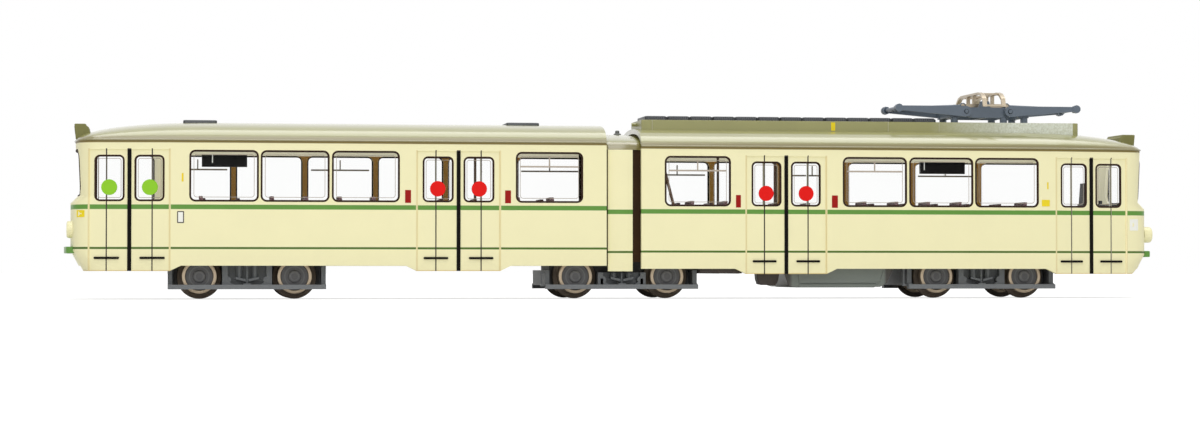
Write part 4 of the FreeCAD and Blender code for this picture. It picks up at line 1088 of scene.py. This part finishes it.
class TRAM_OT_saloon_fittings(bpy.types.Operator):
    """Grab poles and the slanting stay behind the windows"""
    bl_idname = "tram.saloon_fittings"
    bl_label = "Saloon fittings"

    def execute(self, context):
        r = context.scene.tram_sizes.pole / MM / 2
        moulded("Pole brown", rgb(92, 66, 48), 0.4, 0.15)
        ups = np.linspace(*POLE_Z, 8)
        spots = {1: [(12.4, 1.8), (18.0, -3.2), (49.6, -4.4)], -1: [(16.2, -3.2), (49.4, -4.2)]}
        for car in CARS:
            poles = [tube(np.stack([np.full(8, car * x), np.full(8, y), ups + LIFT[car]], -1), r)
                     for x, y in spots[car]]
            if car > 0:
                # stay that leans down behind the first window and ends short of the floor
                share = np.linspace(0.0, 1.0, 8)
                stay = np.stack([4.3 + 1.95 * share, np.full(8, -5.6), 16.6 - 7.6 * share], -1)
                poles.append(tube(stay, 0.17))
            build(CARS[car] + "_poles", CARS[car], poles, "Pole brown")
        return {"FINISHED"}


class TRAM_OT_stage(bpy.types.Operator):
    """White floor, white surround, soft lamps and the camera"""
    bl_idname = "tram.stage"
    bl_label = "Stage"

    def execute(self, context):
        scene = context.scene
        scene.view_settings.view_transform = "Standard"
        half = 4.0  # of the floor, in metres
        mesh = bpy.data.meshes.new("floor")
        corners = [(-half, -half, 0), (half, -half, 0), (half, half, 0), (-half, half, 0)]
        mesh.from_pydata(corners, [], [(0, 1, 2, 3)])
        add_object("floor", mesh)
        made, s, shader = material("White floor")
        coords = s.add("ShaderNodeTexCoord").outputs["Object"]
        paper = s.noise(coords, 900.0, 2.0)
        feed(s, shader, Base_Color=s.mix(paper, (0.80, 0.80, 0.79), (0.84, 0.84, 0.83)), Roughness=0.75,
             Specular_IOR_Level=0.2)
        path = s.add("ShaderNodeLightPath").outputs
        # seen directly: mostly its own white, with a thin share of the light so that shadows stay
        away = s.add("ShaderNodeVectorMath", {0: coords}, operation="LENGTH").outputs["Value"]
        far = s.math("DIVIDE", s.minus(away, 0.10), 0.50, clamp=True)
        seen = s.add("ShaderNodeBsdfDiffuse", {"Color": (0.44, 0.44, 0.44, 1.0)})
        glow = s.add("ShaderNodeEmission", {"Color": (1, 1, 1, 1), "Strength": s.scaled(far, 0.40, 0.66)})
        white = s.add("ShaderNodeAddShader", {0: seen.outputs[0], 1: glow.outputs[0]})
        show_by(s, path["Is Camera Ray"], shader, white)
        mesh.materials.append(made)

        world = bpy.data.worlds.new("Surround")
        world.use_nodes = True
        scene.world = world
        s = Shader(world.node_tree)
        path = s.add("ShaderNodeLightPath").outputs
        seen = s.most([path["Is Camera Ray"], path["Is Glossy Ray"], path["Is Transmission Ray"]])
        strength = s.scaled(seen, 0.64, 0.36)
        s.link(strength, s.tree.nodes["Background"].inputs["Strength"])
        s.tree.nodes["Background"].inputs["Color"].default_value = (1, 1, 1, 1)

        for name, place, aim, size, power in (
                ("Front softbox", (-0.10, -0.42, 0.30), (0.0, 0.0, 0.01), 0.42, 1.12),
                ("Top softbox", (0.05, 0.0, 0.50), (0.0, 0.0, 0.0), 0.50, 2.1)):
            light = bpy.data.lights.new(name, "AREA")
            light.size, light.energy = size, power
            lamp = add_object(name, light)
            lamp.location = place
            way = np.array(aim) - np.array(place)
            flat = math.hypot(way[0], way[1])
            lamp.rotation_euler = (math.atan2(flat, -way[2]), 0.0, math.atan2(way[1], way[0]) - math.pi / 2)

        camera = bpy.data.cameras.new("Camera")
        camera.lens, camera.sensor_width = 83.34, 36.0
        camera.clip_start, camera.clip_end = 0.01, 20.0
        rig = add_object("Camera", camera)
        rig.location = (-0.04964, -0.31187, 0.00301)
        rig.rotation_euler = (math.radians(90.0 + 1.203), 0.0, math.radians(-8.76))
        scene.camera = rig
        return {"FINISHED"}


class TRAM_PT_panel(bpy.types.Panel):
    bl_label = "Tram finishes"
    bl_space_type = "VIEW_3D"
    bl_region_type = "UI"
    bl_category = "Tram"

    def draw(self, context):
        for operator in STEPS:
            self.layout.operator(operator.bl_idname)
        for settings in (context.scene.tram_colours, context.scene.tram_sizes):
            for name in settings.bl_rna.properties.keys():
                if name not in ("rna_type", "name"):
                    self.layout.prop(settings, name)


STEPS = (TRAM_OT_stage, TRAM_OT_finish_bodies, TRAM_OT_finish_roofs, TRAM_OT_finish_glazing,
         TRAM_OT_finish_inside, TRAM_OT_finish_running_gear, TRAM_OT_finish_pantograph,
         TRAM_OT_window_rubbers, TRAM_OT_sliding_vents, TRAM_OT_door_fittings, TRAM_OT_lamp_glasses,
         TRAM_OT_prints, TRAM_OT_saloon_fittings)
CLASSES = (TramColours, TramSizes, *STEPS, TRAM_PT_panel)


def register():
    for cls in CLASSES:
        bpy.utils.register_class(cls)
    bpy.types.Scene.tram_colours = PointerProperty(type=TramColours)
    bpy.types.Scene.tram_sizes = PointerProperty(type=TramSizes)


def unregister():
    del bpy.types.Scene.tram_colours
    del bpy.types.Scene.tram_sizes
    for cls in reversed(CLASSES):
        bpy.utils.unregister_class(cls)


def main():
    register()
    build_groups()
    for step in STEPS:
        group, name = step.bl_idname.split(".")
        getattr(getattr(bpy.ops, group), name)()


if __name__ == "__main__":
    main()
